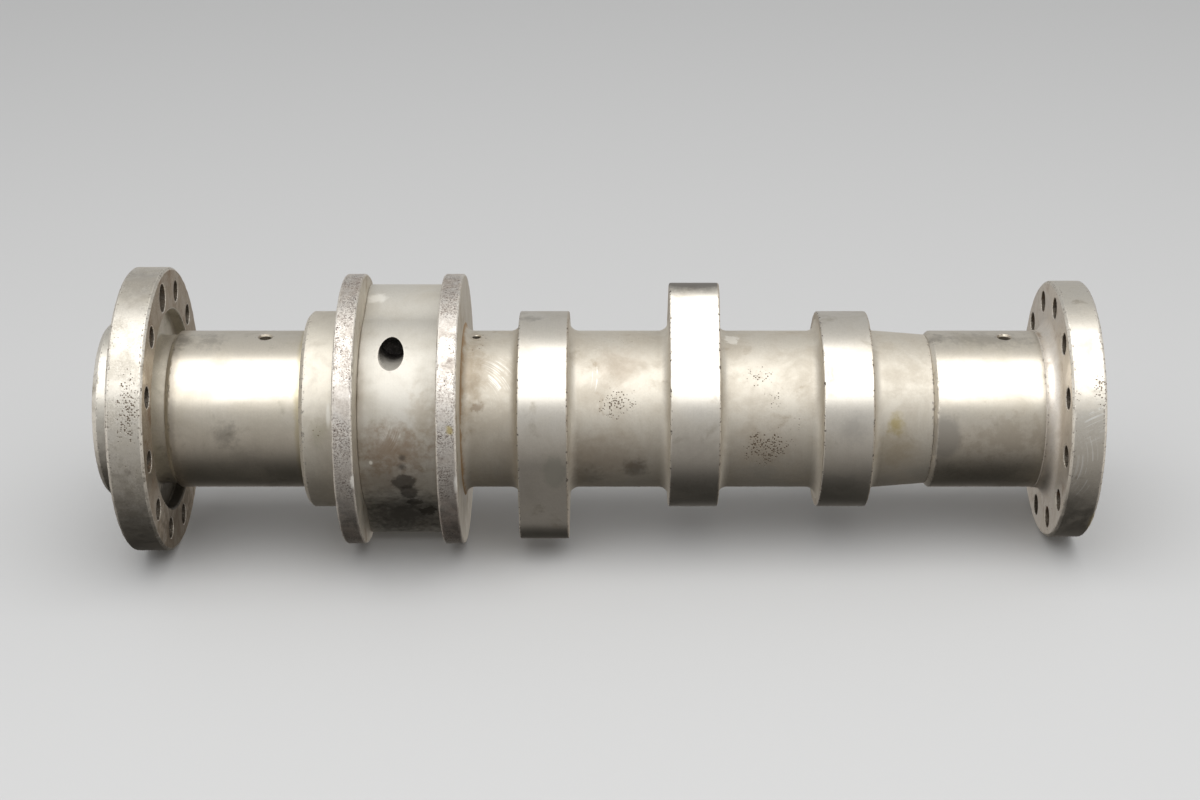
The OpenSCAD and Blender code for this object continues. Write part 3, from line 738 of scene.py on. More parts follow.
# ---------------------------------------------------------------------------------------------
# Fuel cam. A wide hardened cam ring that slides on the shank over a long key. A blind hole takes
# the bar that turns it on its seat when the injection is timed.
# ---------------------------------------------------------------------------------------------
fuel_side_steel = steel(
    "fuel cam side steel", clean=SATIN, dull=SATIN_DULL, stain=BROWN, dull_cover=0.5,
    stain_cover=0.2, gloss=0.4, matt=0.55,
)
fuel_track_steel = steel(
    "fuel cam track steel", clean=(0.63, 0.605, 0.55, 1), dull=(0.57, 0.54, 0.48, 1),
    stain=(0.42, 0.37, 0.29, 1), dull_cover=0.4, dull_size=24.0, stain_cover=0.08,
    pit_amount=0.03, edge_wear=0.3, chips=0.1, dirt=0.8, grain=0.06, turning=0.001, gloss=0.6,
    matt=0.68,
    marks=[
        (on_shaft(135.0, 180, 50), (22, 12, 14), 0.7, 1.0, (0.28, 0.18, 0.1, 1), 0.6),
        (on_shaft(132.0, 200, 50), (24, 12, 12), 0.6, 1.0, BROWN, 0.4),
        (on_shaft(150.0, 160, 50), (9, 12, 15), 0.9, 1.0, (0.4, 0.33, 0.24, 1), 0.35),
        (on_shaft(139.7, 184, 50), (2.2, 3, 2.0), 0.4, 0.8, SOOT, 0.55),
        (on_shaft(139.4, 190, 50), (2.6, 3, 2.4), 0.4, 0.8, SOOT, 0.6),
        (on_shaft(139.5, 202, 50), (6.5, 7, 6), 0.35, 0.25, SOOT, 0.7),
        (on_shaft(141.5, 212, 50), (4.8, 7, 7), 0.35, 0.25, SOOT, 0.7),
        (on_shaft(143.5, 225, 51), (4.2, 8, 6), 0.4, 0.25, SOOT, 0.7),
        (on_shaft(149.5, 238, 53), (5, 4, 4), 0.9, 0.25, SOOT, 0.7),
        # Painted shade: a near-black patch darkens the lower front of the track.
        (on_shaft(138.0, 240, 56), (40, 28, 26), 0.4, 1.0, (0.05, 0.045, 0.035, 1), 0.88),
        (on_shaft(124.1, 187.2, 50), (1.1, 1.2, 1.4), 0.5, 0.3, PALE, 0.9),
        # Painted highlight: a pale patch near the top of the track, by the left cheek.
        (on_shaft(123.5, 73, 57), (5.5, 5, 4), 0.6, 0.5, PALE, 0.6),
        (on_shaft(119.0, 160, 50), (3, 40, 40), 0.3, 1.0, BROWN, 0.22),
        (on_shaft(157.0, 180, 50), (3, 40, 40), 0.3, 1.0, BROWN, 0.2),
    ],
    clusters=[(on_shaft(137.0, 186, 50), (14, 9, 11), 0.16)],
    scratches=[(on_shaft(112.0, 160, 50), on_shaft(136, 172, 50), (9, 9, 9))],
)
# Painted shade: the hole's walls are coloured near black for the shade inside it.
bar_hole_painted_light_and_shade = steel(
    "bar hole painted light and shade", clean=(0.07, 0.062, 0.052, 1), dull=(0.035, 0.03, 0.025, 1),
    stain=(0.05, 0.035, 0.025, 1), dull_cover=0.6, dull_size=5.0, stain_cover=0.25,
    pit_amount=0.2, edge_wear=1.0, gloss=0.5, matt=0.7,
    metallic=0.35,
    # Painted light: a lighter grey patch on the lower wall, where the light falls into the hole.
    marks=[((134, -25, 35.6), (9, 13, 5.5), 0.3, 0.7, (0.36, 0.34, 0.3, 1), 0.95)],
)
FUEL_TOP, FUEL_MIDDLE, FUEL_DWELL, FUEL_RISE, FUEL_FALL = 66.8, -25.0, 72.0, 33.0, 46.0
FUEL_START, FUEL_END = 118.0, 158.0
BAR_X, BAR_R, BAR_DEPTH, BAR_POINT = 134.0, 6.4, 22.0, 3.0
KEYWAY_TOP, KEYWAY_INSIDE = -36.7, -20.0


def fuel_lift(angle):
    """The fuel cam's lift: full over the dwell, and t * t * (3 - 2 t) along each flank."""
    away = (np.degrees(angle) - FUEL_MIDDLE + 180) % 360 - 180
    flank = np.where(away < 0, FUEL_RISE, FUEL_FALL)
    climb = np.clip((FUEL_DWELL + flank - np.abs(away)) / flank, 0, 1)
    lift = (FUEL_TOP - BASE_R) * climb * climb * (3 - 2 * climb)
    return np.array([lift, lift * 0, lift * 0])


FUEL = (1, 0, 0)
fuel_shape = outline([
    (FUEL_START, SHANK_R, 0, 0), (FUEL_START, CAM_SIDE_R, 0, 0),
    (FUEL_START, CAM_BLEND_R, 0, 0, FUEL), (FUEL_START, BASE_R, 0.6, 1, FUEL),
    (FUEL_END, BASE_R, 0.6, 0, FUEL), (FUEL_END, CAM_BLEND_R, 0, 0, FUEL),
    (FUEL_END, CAM_SIDE_R, 0, 0), (FUEL_END, SHANK_R, 0, 0),
])
fuel_cam = turned("fuel_cam_ring", fuel_shape, fuel_lift, nicks=0.2)
for finish in (fuel_side_steel, fuel_track_steel, bar_hole_painted_light_and_shade):
    fuel_cam.data.materials.append(finish)
bar_mouth = on_shaft(BAR_X, 123, BASE_R)
bar_axis = on_shaft(0, 173, 1)
bar_bottom = tuple(mouth - BAR_DEPTH * step for mouth, step in zip(bar_mouth, bar_axis))
bar_drill = {
    "points": np.array([(-BAR_POINT, 0), (0, BAR_R), (60, BAR_R), (60, 0)], float),
    "shares": np.zeros((4, 3)), "finish": np.zeros(4, int),
}
cut(fuel_cam, [
    turned("drill", bar_drill, columns=64, origin=bar_bottom, axis=bar_axis),
    slot_cutter(FUEL_START - 3, FUEL_END + 3, FUEL_KEY_W, KEYWAY_TOP, KEYWAY_INSIDE, False),
], bar_hole_painted_light_and_shade)
finish_surface(fuel_cam, fuel_shape, fuel_lift, [(bar_mouth, bar_axis, BAR_R, BASE_R)])
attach(fuel_cam, "root")
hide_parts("fuel_cam")

# ---------------------------------------------------------------------------------------------
# Cheek discs. Two plain discs that guide the roller between them. Their rims have rusted and
# been wiped again and again, so they are pitted all over and bright along the edges.
# ---------------------------------------------------------------------------------------------
cheek_face_steel = steel(
    "cheek face steel", clean=SATIN, dull=SATIN_DULL, stain=(0.36, 0.29, 0.2, 1),
    dull_cover=0.5, stain_cover=0.2, pit_amount=0.2, gloss=0.46, matt=0.6, turning=0.004,
    edge_wear=0.5, chips=0.6, dirt=0.4, grain=0.2,
)
cheek_rim_steel = steel(
    "cheek rim steel", clean=(0.67, 0.63, 0.58, 1), dull=(0.54, 0.495, 0.445, 1),
    stain=(0.17, 0.13, 0.11, 1), pit=(0.1, 0.075, 0.065, 1), dull_cover=0.5, dull_size=7.0,
    stain_cover=0.05, stain_size=9.0, pit_amount=0.4, pit_size=0.9, pit_depth=0.07,
    edge_wear=0.9, chips=0.5, dirt=0.3, grain=0.85, turning=0.003, gloss=0.42, matt=0.58,
    marks=[
        (on_shaft(165.0, 163.6, 69), (2.2, 2.2, 2.2), 0.9, 0.6, YELLOW, 0.8),
        # Pale streaks at the front of each rim's right edge: worn bright edge and painted highlight.
        (on_shaft(117.4, 186, 68.6), (1.4, 2, 5), 0.5, 0.4, PALE, 0.9),
        (on_shaft(167.4, 187, 68.6), (1.4, 2, 6), 0.5, 0.4, PALE, 0.9),
        (on_shaft(163.0, 212, 69), (20, 30, 24), 0.8, 1.0, (0.24, 0.17, 0.14, 1), 0.45),
        (on_shaft(113.0, 222, 69), (20, 26, 20), 0.8, 1.0, (0.24, 0.19, 0.15, 1), 0.45),
        (on_shaft(138.0, 92, 69), (40, 22, 9), 0.9, 1.0, (0.26, 0.2, 0.16, 1), 0.45),
    ],
)
CHEEK_R, CHEEK_T, CHEEK_CHAMFER = 69.0, 10.0, 0.7
FINE = 2.5
for cheek_name, start in (("left_cheek", FUEL_START - CHEEK_T), ("right_cheek", FUEL_END)):
    end, shoulder_r = start + CHEEK_T, CHEEK_R - CHEEK_CHAMFER
    cheek_shape = outline([
        (start, SHANK_R, 0, 0), (start, shoulder_r, 0.4, 1),
        (start + CHEEK_CHAMFER, CHEEK_R, 0.4, 1), (end - CHEEK_CHAMFER, CHEEK_R, 0.4, 1),
        (end, shoulder_r, 0.4, 0), (end, SHANK_R, 0, 0),
    ], FINE)
    cheek = turned(cheek_name + "_disc", cheek_shape, nicks=0.5)
    cheek.data.materials.append(cheek_face_steel)
    cheek.data.materials.append(cheek_rim_steel)
    keyway = slot_cutter(start - 3, end + 3, FUEL_KEY_W, KEYWAY_TOP, KEYWAY_INSIDE, False)
    cut(cheek, [keyway], cheek_face_steel)
    finish_surface(cheek, cheek_shape)
    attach(cheek, "root")
    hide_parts(cheek_name)

# ---------------------------------------------------------------------------------------------
# Spacer collar. A turned ring that presses the cheeks and the fuel cam against the shoulder. It
# has a fine turned finish, with a chamfer towards the journal.
# ---------------------------------------------------------------------------------------------
collar_steel = steel(
    "collar steel", clean=(0.66, 0.62, 0.54, 1), dull=(0.56, 0.52, 0.45, 1),
    stain=(0.46, 0.42, 0.34, 1), dull_cover=0.4, dull_size=20.0, stain_cover=0.12,
    pit_amount=0.05, pit_size=1.2, edge_wear=0.35, chips=0.5, dirt=0.6, grain=0.08,
    turning=0.0015, gloss=0.55, matt=0.64,
    marks=[
        (on_shaft(99.2, 168, 50), (6, 7, 8), 0.8, 1.0, (0.4, 0.37, 0.27, 1), 0.4),
        # Painted highlight: a pale upright streak near the collar's right end.
        (on_shaft(104.2, 158.6, 50), (1.2, 5, 7), 0.4, 0.6, PALE, 0.7),
        (on_shaft(98.0, 205, 50), (14, 12, 14), 0.6, 1.0, (0.34, 0.3, 0.24, 1), 0.35),
    ],
    clusters=[(on_shaft(98.5, 170, 50), (5, 5, 5), 0.7)],
)
COLLAR_R, COLLAR_CHAMFER, COLLAR_END = 50.0, 2.0, FUEL_START - CHEEK_T
collar_shape = outline([
    (LEFT_JOINT, SHANK_R, 0, 0), (LEFT_JOINT, COLLAR_R - COLLAR_CHAMFER, 0.4, 0),
    (LEFT_JOINT + COLLAR_CHAMFER, COLLAR_R, 0.4, 0), (COLLAR_END, COLLAR_R, 0, 0),
    (COLLAR_END, SHANK_R, 0, 0),
], FINE)
collar = turned("spacer_collar_ring", collar_shape, nicks=0.2)
collar.data.materials.append(collar_steel)
keyway = slot_cutter(LEFT_JOINT - 3.3, COLLAR_END + 3, FUEL_KEY_W, KEYWAY_TOP, KEYWAY_INSIDE, False)
cut(collar, [keyway], collar_steel)
finish_surface(collar, collar_shape)
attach(collar, "root")
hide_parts("spacer_collar")

# ---------------------------------------------------------------------------------------------
# Left journal with its flange. A sleeve forged in one with the coupling flange and shrunk on the
# left stub. The journal is ground bright; the flange is turned, and rusty round its bolt holes.
# ---------------------------------------------------------------------------------------------
journal_steel = steel(
    "journal steel", clean=(0.72, 0.665, 0.57, 1), dull=(0.6, 0.55, 0.46, 1),
    stain=(0.45, 0.41, 0.33, 1), dull_cover=0.4, dull_size=26.0, stain_cover=0.1,
    stain_size=16.0, pit_amount=0.02, edge_wear=0.3, chips=0.3, dirt=0.3, grain=0.04,
    turning=0.0006, gloss=0.32, matt=0.43,
    marks=[
        (on_shaft(26.0, 95, 40), (6, 8, 4), 0.8, 1.0, SOOT, 0.5),
        (on_shaft(41.0, 96, 40), (7, 9, 3.5), 1.0, 1.0, SOOT, 0.3),
        (on_shaft(51.5, 174, 40), (7, 6, 7), 0.9, 1.0, SOOT, 0.38),
        (on_shaft(61.0, 192, 40), (9, 7, 9), 0.8, 1.0, (0.35, 0.32, 0.27, 1), 0.35),
        (88.0, 40.0, 3.0, 0.9, YELLOW, 0.4), (24.5, 40.0, 3.5, 1.4, SOOT, 0.25),
        (on_shaft(407.5, 177, 40), (9.5, 10, 13), 0.15, 0.3, (0.32, 0.3, 0.27, 1), 0.6),
        (on_shaft(431.0, 94, 40), (26, 9, 4), 1.0, 1.0, SOOT, 0.28),
        (on_shaft(406.0, 92, 40), (7, 5, 4), 0.8, 1.0, SOOT, 0.3),
        (on_shaft(440.0, 176, 40), (20, 9, 13), 1.3, 0.8, (0.44, 0.38, 0.3, 1), 0.5),
        (on_shaft(425.0, 205, 40), (22, 9, 9), 0.9, 1.0, (0.3, 0.26, 0.2, 1), 0.3),
    ],
)
flange_rim_steel = steel(
    "flange rim steel", clean=(0.635, 0.6, 0.535, 1), dull=(0.53, 0.495, 0.43, 1),
    stain=(0.25, 0.22, 0.185, 1), pit=(0.15, 0.125, 0.1, 1), dull_cover=0.5, dull_size=14.0,
    stain_cover=0.06, stain_size=16.0, pit_amount=0.2, pit_size=0.9, pit_depth=0.06,
    edge_wear=0.7, chips=0.7, grain=0.34, turning=0.003, gloss=0.42, matt=0.56,
    marks=[
        # Painted shade: darkens the lower front of the rim.
        (on_shaft(9.0, 226, 72.5), (28, 50, 48), 0.6, 0.9, (0.15, 0.135, 0.11, 1), 0.75),
        (on_shaft(9.0, 192, 72.5), (9, 8, 20), 1.2, 1.0, (0.3, 0.27, 0.22, 1), 0.4),
        (on_shaft(9.0, 95, 72.5), (16, 24, 12), 0.9, 1.0, (0.3, 0.27, 0.23, 1), 0.4),
    ],
    clusters=[
        (on_shaft(11.5, 154, 72.5), (8, 18, 28), 0.9),
        (on_shaft(5.0, 128, 72.5), (7, 14, 12), 0.45),
        (on_shaft(12.0, 182, 72.5), (7, 14, 26), 0.4),
    ],
)
# Rust-brown turned steel, also coloured darker than the right flange's inner face as painted shade.
left_inner_rust_and_shade_steel = steel(
    "flange inner face steel", clean=(0.46, 0.4, 0.32, 1), dull=(0.36, 0.3, 0.23, 1),
    stain=(0.26, 0.18, 0.12, 1), dull_cover=0.5, dull_size=10.0, stain_cover=0.25,
    stain_size=12.0, pit_amount=0.25, pit_size=0.9, pit_depth=0.05, edge_wear=0.6, dirt=0.2,
    grain=0.35, turning=0.003, gloss=0.42, matt=0.58,
    marks=[(on_shaft(18.0, 255, 66), (12, 62, 38), 0.5, 0.8, (0.11, 0.085, 0.055, 1), 0.85)],
)
recess_steel = steel(
    "flange recess steel", clean=(0.68, 0.635, 0.55, 1), dull=(0.56, 0.52, 0.44, 1),
    stain=(0.36, 0.33, 0.25, 1), dull_cover=0.5, dull_size=12.0, stain_cover=0.15,
    edge_wear=1.0, dirt=0.15, grain=0.15, turning=0.003, gloss=0.42, matt=0.56,
    # Painted shadow: a near-black patch over the lower recess, where it lies in shade.
    marks=[(on_shaft(15.0, 268, 50), (14, 52, 24), 0.3, 0.5, (0.06, 0.05, 0.035, 1), 0.95)],
)
flange_face_steel = steel(
    "flange mating face steel", clean=(0.6, 0.57, 0.51, 1), dull=(0.42, 0.39, 0.34, 1),
    stain=BROWN, dull_cover=0.45, stain_cover=0.14, pit_amount=0.1, edge_wear=0.7, dirt=0.6,
    turning=0.004, gloss=0.34, matt=0.5,
)
bolt_hole_steel = steel(
    "bolt hole steel", clean=(0.24, 0.21, 0.17, 1), dull=(0.13, 0.11, 0.085, 1),
    stain=(0.2, 0.12, 0.07, 1), dull_cover=0.6, dull_size=5.0, stain_cover=0.2,
    stain_size=6.0, pit_amount=0.3, pit_size=0.8, edge_wear=1.0, grain=0.2, gloss=0.45,
    matt=0.65, marks=[(on_shaft(468.0, 236, 55.5), (7, 8, 7), 0.4, 0.8, (0.5, 0.27, 0.12, 1), 0.8)],
)


def bolt_circle(radius):
    """Centres (y, z) of the twelve bolt holes, the first one at the top."""
    angle = np.radians(90 + 30 * np.arange(12))
    return list(zip((radius * np.cos(angle)).tolist(), (radius * np.sin(angle)).tolist()))


FACE, RIM, INNER, JOURNAL, BORE, RECESS = 0, 1, 2, 3, 4, 5
JOURNAL_R, JOURNAL_CHAMFER, RELIEF_R, RELIEF_END = 40.0, 2.0, 38.0, 23.5
LEFT_RIM_R, LEFT_FLANGE_T, RIM_CHAMFER, RECESS_R, RECESS_FLOOR = 72.5, 18.0, 1.2, 51.0, 12.0
RING_R, RING_SEAT_R, RING_LEAD, RING_SEAT_END = 45.0, 43.0, 2.0, 5.0
LEFT_BOLTS_R, BOLT_R, BUSH_R, BOLT_MOUTH = 61.0, 5.25, 7.0, 0.4
BOLT_EDGE, BUSH_EDGE, OIL_MOUTH = 5.6, 7.4, 1.0
JOURNAL_KEYWAY_TOP, JOURNAL_KEYWAY_LEN = -34.3, 50.0
left_shape = outline([
    (0, RING_R, 0.2, FACE), (0, LEFT_RIM_R - RIM_CHAMFER, 0.3, RIM),
    (RIM_CHAMFER, LEFT_RIM_R, 0.3, RIM), (LEFT_FLANGE_T - RIM_CHAMFER, LEFT_RIM_R, 0.3, RIM),
    (LEFT_FLANGE_T, LEFT_RIM_R - RIM_CHAMFER, 0.3, INNER), (LEFT_FLANGE_T, RECESS_R, 0.9, RECESS),
    (RECESS_FLOOR, RECESS_R, 0.8, RECESS), (RECESS_FLOOR, RELIEF_R, 1.5, RECESS),
    (RELIEF_END - JOURNAL_CHAMFER, RELIEF_R, 0.5, JOURNAL), (RELIEF_END, JOURNAL_R, 0.4, JOURNAL),
    (LEFT_JOINT, JOURNAL_R, 0.5, FACE), (LEFT_JOINT, STUB_R, 0, BORE),
    (RING_SEAT_END, STUB_R, 0, FACE), (RING_SEAT_END, RING_SEAT_R, 0, FACE),
    (RING_LEAD, RING_SEAT_R, 0, FACE),
], FINE)
left_flange = turned("left_flange_and_journal", left_shape, nicks=0.3)
for finish in (flange_face_steel, flange_rim_steel, left_inner_rust_and_shade_steel, journal_steel,
               bolt_hole_steel, recess_steel, oil_bore_steel):
    left_flange.data.materials.append(finish)
cut(left_flange, [
    drill((0, y, z), ALONG, LEFT_FLANGE_T, BOLT_R if number else BUSH_R, BOLT_MOUTH, BOLT_MOUTH)
    for number, (y, z) in enumerate(bolt_circle(LEFT_BOLTS_R))
], bolt_hole_steel)
cut(left_flange, [
    drill((LEFT_OIL_X, 0, JOURNAL_R), DOWN, 14, OIL_R, OIL_MOUTH),
    slot_cutter(
        LEFT_JOINT - JOURNAL_KEYWAY_LEN, LEFT_JOINT + 2.7, JOURNAL_KEY_W, JOURNAL_KEYWAY_TOP,
        KEYWAY_INSIDE, False,
    ),
], oil_bore_steel)
mouths = [
    ((x, y, z), ALONG, BOLT_EDGE)
    for y, z in bolt_circle(LEFT_BOLTS_R)[1:] for x in (0, LEFT_FLANGE_T)
]
mouths += [
    ((LEFT_FLANGE_T, 0, LEFT_BOLTS_R), ALONG, BUSH_EDGE),
    ((LEFT_OIL_X, 0, JOURNAL_R), UP, OIL_R + OIL_MOUTH),
]
finish_surface(left_flange, left_shape, mouths=mouths)
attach(left_flange, "root")
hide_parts("left_flange_journal")

# ---------------------------------------------------------------------------------------------
# Right journal with its flange. Made like the left one, but the flange is smaller, blends into
# the journal with a fillet, and has a register turned into its face.
# ---------------------------------------------------------------------------------------------
right_rim_steel = steel(
    "right flange rim steel", clean=(0.68, 0.64, 0.565, 1), dull=(0.58, 0.54, 0.47, 1),
    stain=(0.38, 0.34, 0.28, 1), pit=(0.14, 0.11, 0.09, 1), dull_cover=0.45, dull_size=14.0,
    stain_cover=0.12, stain_size=12.0, pit_amount=0.1, pit_size=0.9, pit_depth=0.06,
    edge_wear=0.6, chips=0.6, grain=0.14, turning=0.0025, gloss=0.34, matt=0.5,
    clusters=[
        (on_shaft(478.5, 146, 65.5), (4.5, 13, 13), 0.75),
        (on_shaft(467.5, 148, 65.5), (3, 9, 11), 0.55),
    ],
    scratches=[
        (on_shaft(440, 178, 65.5), on_shaft(473, 182, 65.5), (8, 10, 20)),
        (on_shaft(500, 215, 65.5), on_shaft(475, 160, 65.5), (6, 10, 12)),
    ],
    marks=[
        (on_shaft(481.0, 215, 65.5), (1.6, 9, 9), 0.7, 0.6, YELLOW, 0.5),
        (on_shaft(474.0, 236, 65.5), (16, 22, 22), 0.6, 1.0, (0.34, 0.31, 0.26, 1), 0.4),
    ],
)
# Painted light: this inner face is coloured lighter than the left one, for the light that falls on it.
right_inner_painted_light_steel = steel(
    "right flange inner face steel", clean=(0.74, 0.69, 0.62, 1), dull=(0.64, 0.585, 0.51, 1),
    stain=(0.46, 0.38, 0.3, 1), dull_cover=0.5, dull_size=12.0, stain_cover=0.16,
    stain_size=10.0, pit_amount=0.16, pit_size=0.9, edge_wear=0.5, dirt=0.25, grain=0.2,
    turning=0.003, gloss=0.42, matt=0.56,
)
RIGHT_FLANGE, RIGHT_FACE, RIGHT_RIM_R, RIGHT_BOLTS_R = 465.0, 482.0, 65.5, 55.5
REGISTER_R, REGISTER_FLOOR, FLANGE_FILLET = 40.0, 476.0, 6.0
GROUND_END, GROUND_STEP = 457.6, 0.35
right_shape = outline([
    (RIGHT_JOINT, STUB_R, 0, FACE), (RIGHT_JOINT, JOURNAL_R - JOURNAL_CHAMFER, 0.3, JOURNAL),
    (RIGHT_JOINT + JOURNAL_CHAMFER, JOURNAL_R, 0.6, JOURNAL), (GROUND_END, JOURNAL_R, 0.1, INNER),
    (GROUND_END + 0.3, JOURNAL_R + GROUND_STEP, 0.1, INNER),
    (RIGHT_FLANGE, JOURNAL_R + GROUND_STEP, FLANGE_FILLET, INNER),
    (RIGHT_FLANGE, RIGHT_RIM_R - RIM_CHAMFER, 0.3, RIM),
    (RIGHT_FLANGE + RIM_CHAMFER, RIGHT_RIM_R, 0.3, RIM),
    (RIGHT_FACE - RIM_CHAMFER, RIGHT_RIM_R, 0.3, RIM),
    (RIGHT_FACE, RIGHT_RIM_R - RIM_CHAMFER, 0.3, FACE), (RIGHT_FACE, REGISTER_R, 0.4, FACE),
    (REGISTER_FLOOR, REGISTER_R, 0.3, FACE), (REGISTER_FLOOR, STUB_R, 0.4, BORE),
], FINE)
right_flange = turned("right_flange_and_journal", right_shape, nicks=0.3)
for finish in (flange_face_steel, right_rim_steel, right_inner_painted_light_steel, journal_steel,
               bolt_hole_steel, oil_bore_steel):
    right_flange.data.materials.append(finish)
cut(right_flange, [
    drill((RIGHT_FLANGE, y, z), ALONG, RIGHT_FACE - RIGHT_FLANGE, BOLT_R, BOLT_MOUTH, BOLT_MOUTH)
    for y, z in bolt_circle(RIGHT_BOLTS_R)
], bolt_hole_steel)
cut(right_flange, [
    drill((RIGHT_OIL_X, 0, JOURNAL_R), DOWN, 14, OIL_R, OIL_MOUTH),
    slot_cutter(
        RIGHT_JOINT - 2.5, RIGHT_JOINT + JOURNAL_KEYWAY_LEN, JOURNAL_KEY_W, JOURNAL_KEYWAY_TOP,
        KEYWAY_INSIDE, False,
    ),
], oil_bore_steel)
mouths = [
    ((x, y, z), ALONG, BOLT_EDGE)
    for y, z in bolt_circle(RIGHT_BOLTS_R) for x in (RIGHT_FLANGE, RIGHT_FACE)
]
mouths += [((RIGHT_OIL_X, 0, JOURNAL_R), UP, OIL_R + OIL_MOUTH)]
finish_surface(right_flange, right_shape, mouths=mouths)
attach(right_flange, "root")
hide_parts("right_flange_journal")

# ---------------------------------------------------------------------------------------------
# Centring ring and locating bush. The shouldered ring is pressed into the left flange and centres
# the next section; the bush in the enlarged top hole fixes the two at the right angle.
# ---------------------------------------------------------------------------------------------
ring_steel = steel(
    "centring ring steel", clean=(0.66, 0.63, 0.565, 1), dull=(0.55, 0.52, 0.46, 1),
    stain=(0.3, 0.26, 0.2, 1), dull_cover=0.45, dull_size=16.0, stain_cover=0.1,
    pit_amount=0.1, edge_wear=0.4, chips=0.4, dirt=0.5, turning=0.001, gloss=0.4, matt=0.5,
    # Painted shade: darkens the lower front of the ring.
    marks=[(on_shaft(-6.0, 220, 45), (22, 30, 30), 0.5, 1.0, (0.16, 0.14, 0.11, 1), 0.75)],
)
RING_END, RING_CHAMFER, RING_BORE_R = -13.3, 2.5, 32.0
ring_shape = outline([
    (RING_END, RING_BORE_R, 0.5, 0), (RING_END, RING_R - RING_CHAMFER, 0.4, 0),
    (RING_END + RING_CHAMFER, RING_R, 0.4, 0), (0, RING_R, 0, 0), (RING_LEAD, RING_SEAT_R, 0, 0),
    (RING_SEAT_END, RING_SEAT_R, 0, 0), (RING_SEAT_END, RING_BORE_R, 0.5, 0),
], FINE)
ring = turned("centring_ring_turned", ring_shape, nicks=0.3)
ring.data.materials.append(ring_steel)
finish_surface(ring, ring_shape)
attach(ring, "root")
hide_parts("centring_ring")

bush_steel = steel(
    "bush steel", clean=(0.5, 0.48, 0.44, 1), dull=(0.34, 0.31, 0.27, 1), stain=BROWN,
    dull_cover=0.5, stain_cover=0.2, gloss=0.3, matt=0.48,
)
BUSH_LEN = 10.0
bush_shape = outline([
    (0, BOLT_R, 0.5, 0), (0, BUSH_R, 0.4, 0), (BUSH_LEN, BUSH_R, 0.4, 0), (BUSH_LEN, BOLT_R, 0.5, 0),
])
bush = turned("locating_bush_turned", bush_shape, columns=96, origin=(0, 0, LEFT_BOLTS_R))
bush.data.materials.append(bush_steel)
finish_surface(bush, bush_shape)
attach(bush, "root")
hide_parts("locating_bush")

# ---------------------------------------------------------------------------------------------
# Gallery plugs and washers. A hexagon-socket screw plug closes each end of the oil gallery, with
# a soft copper washer squeezed under its head.
# ---------------------------------------------------------------------------------------------
plug_steel = steel(
    "plug steel", clean=(0.3, 0.29, 0.28, 1), dull=(0.18, 0.17, 0.16, 1), stain=BROWN,
    dull_cover=0.5, stain_cover=0.12, edge_wear=0.7, dirt=0.6, gloss=0.34, matt=0.5,
)
washer_copper = steel(
    "washer copper", clean=(0.72, 0.38, 0.22, 1), dull=(0.42, 0.22, 0.13, 1),
    stain=(0.2, 0.16, 0.1, 1), dull_cover=0.5, stain_cover=0.2, edge_wear=0.3, gloss=0.3,
    matt=0.5,
)


PLUG_HEAD_R, PLUG_TOP, SOCKET_R, SOCKET_FLOOR = 13.5, 4.5, 5.0, -4.0
WASHER_R, WASHER_T = 13.0, 1.0


def hexagon(angle):
    """How far a hexagon stands outside the circle inscribed in it, radius / cos(a) - radius,
    with a the angle from the middle of the nearest flat."""
    fold = (angle + math.pi / 6) % (math.pi / 3) - math.pi / 6
    lift = SOCKET_R / np.cos(fold) - SOCKET_R
    return np.array([lift, lift * 0, lift * 0])


SOCKET = (1, 0, 0)
for side, seat, outwards in (("left", LEFT_END, -1.0), ("right", RIGHT_END, 1.0)):
    plug_shape = outline([
        (-PLUG_DEPTH, 0, 0, 0), (-PLUG_DEPTH, PLUG_R - 0.6, 0.6, 0), (1 - PLUG_DEPTH, PLUG_R, 0.3, 0),
        (WASHER_T, PLUG_R, 0, 0), (WASHER_T, PLUG_HEAD_R, 0.2, 0),
        (PLUG_TOP - 0.4, PLUG_HEAD_R, 0.3, 0), (PLUG_TOP, PLUG_HEAD_R - 0.4, 0.3, 0),
        (PLUG_TOP, SOCKET_R + 0.4, 0, 0, SOCKET), (PLUG_TOP - 0.5, SOCKET_R, 0, 0, SOCKET),
        (SOCKET_FLOOR, SOCKET_R, 0, 0, SOCKET), (SOCKET_FLOOR - 1, 0, 0, 0),
    ])
    plug = turned(side + "_plug", plug_shape, hexagon, 144, (seat, 0, 0), (outwards, 0, 0))
    plug.data.materials.append(plug_steel)
    finish_surface(plug, plug_shape)
    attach(plug, "root")
    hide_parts(side + "_gallery_plug")
    washer_shape = outline([
        (0, PLUG_R, 0.2, 0), (0, WASHER_R, 0.3, 0), (WASHER_T, WASHER_R, 0.3, 0),
        (WASHER_T, PLUG_R, 0.2, 0),
    ])
    washer = turned(side + "_washer", washer_shape, no_lift, 96, (seat, 0, 0), (outwards, 0, 0))
    washer.data.materials.append(washer_copper)
    finish_surface(washer, washer_shape)
    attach(washer, "root")
    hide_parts(side + "_plug_washer")

# ---------------------------------------------------------------------------------------------
# Keys. Bright drawn key steel with round ends, hidden inside the hubs. Their CAD shapes are right
# and stay, and only get their material.
# ---------------------------------------------------------------------------------------------
key_steel = steel(
    "key steel", clean=(0.5, 0.5, 0.5, 1), dull=(0.38, 0.37, 0.35, 1), stain=BROWN,
    dull_cover=0.35, stain_cover=0.06, gloss=0.3, matt=0.45,
)
for key_name in ("fuel_cam_key", "left_journal_key", "right_journal_key"):
    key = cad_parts[key_name]
    key.data.materials.clear()
    key.data.materials.append(key_steel)

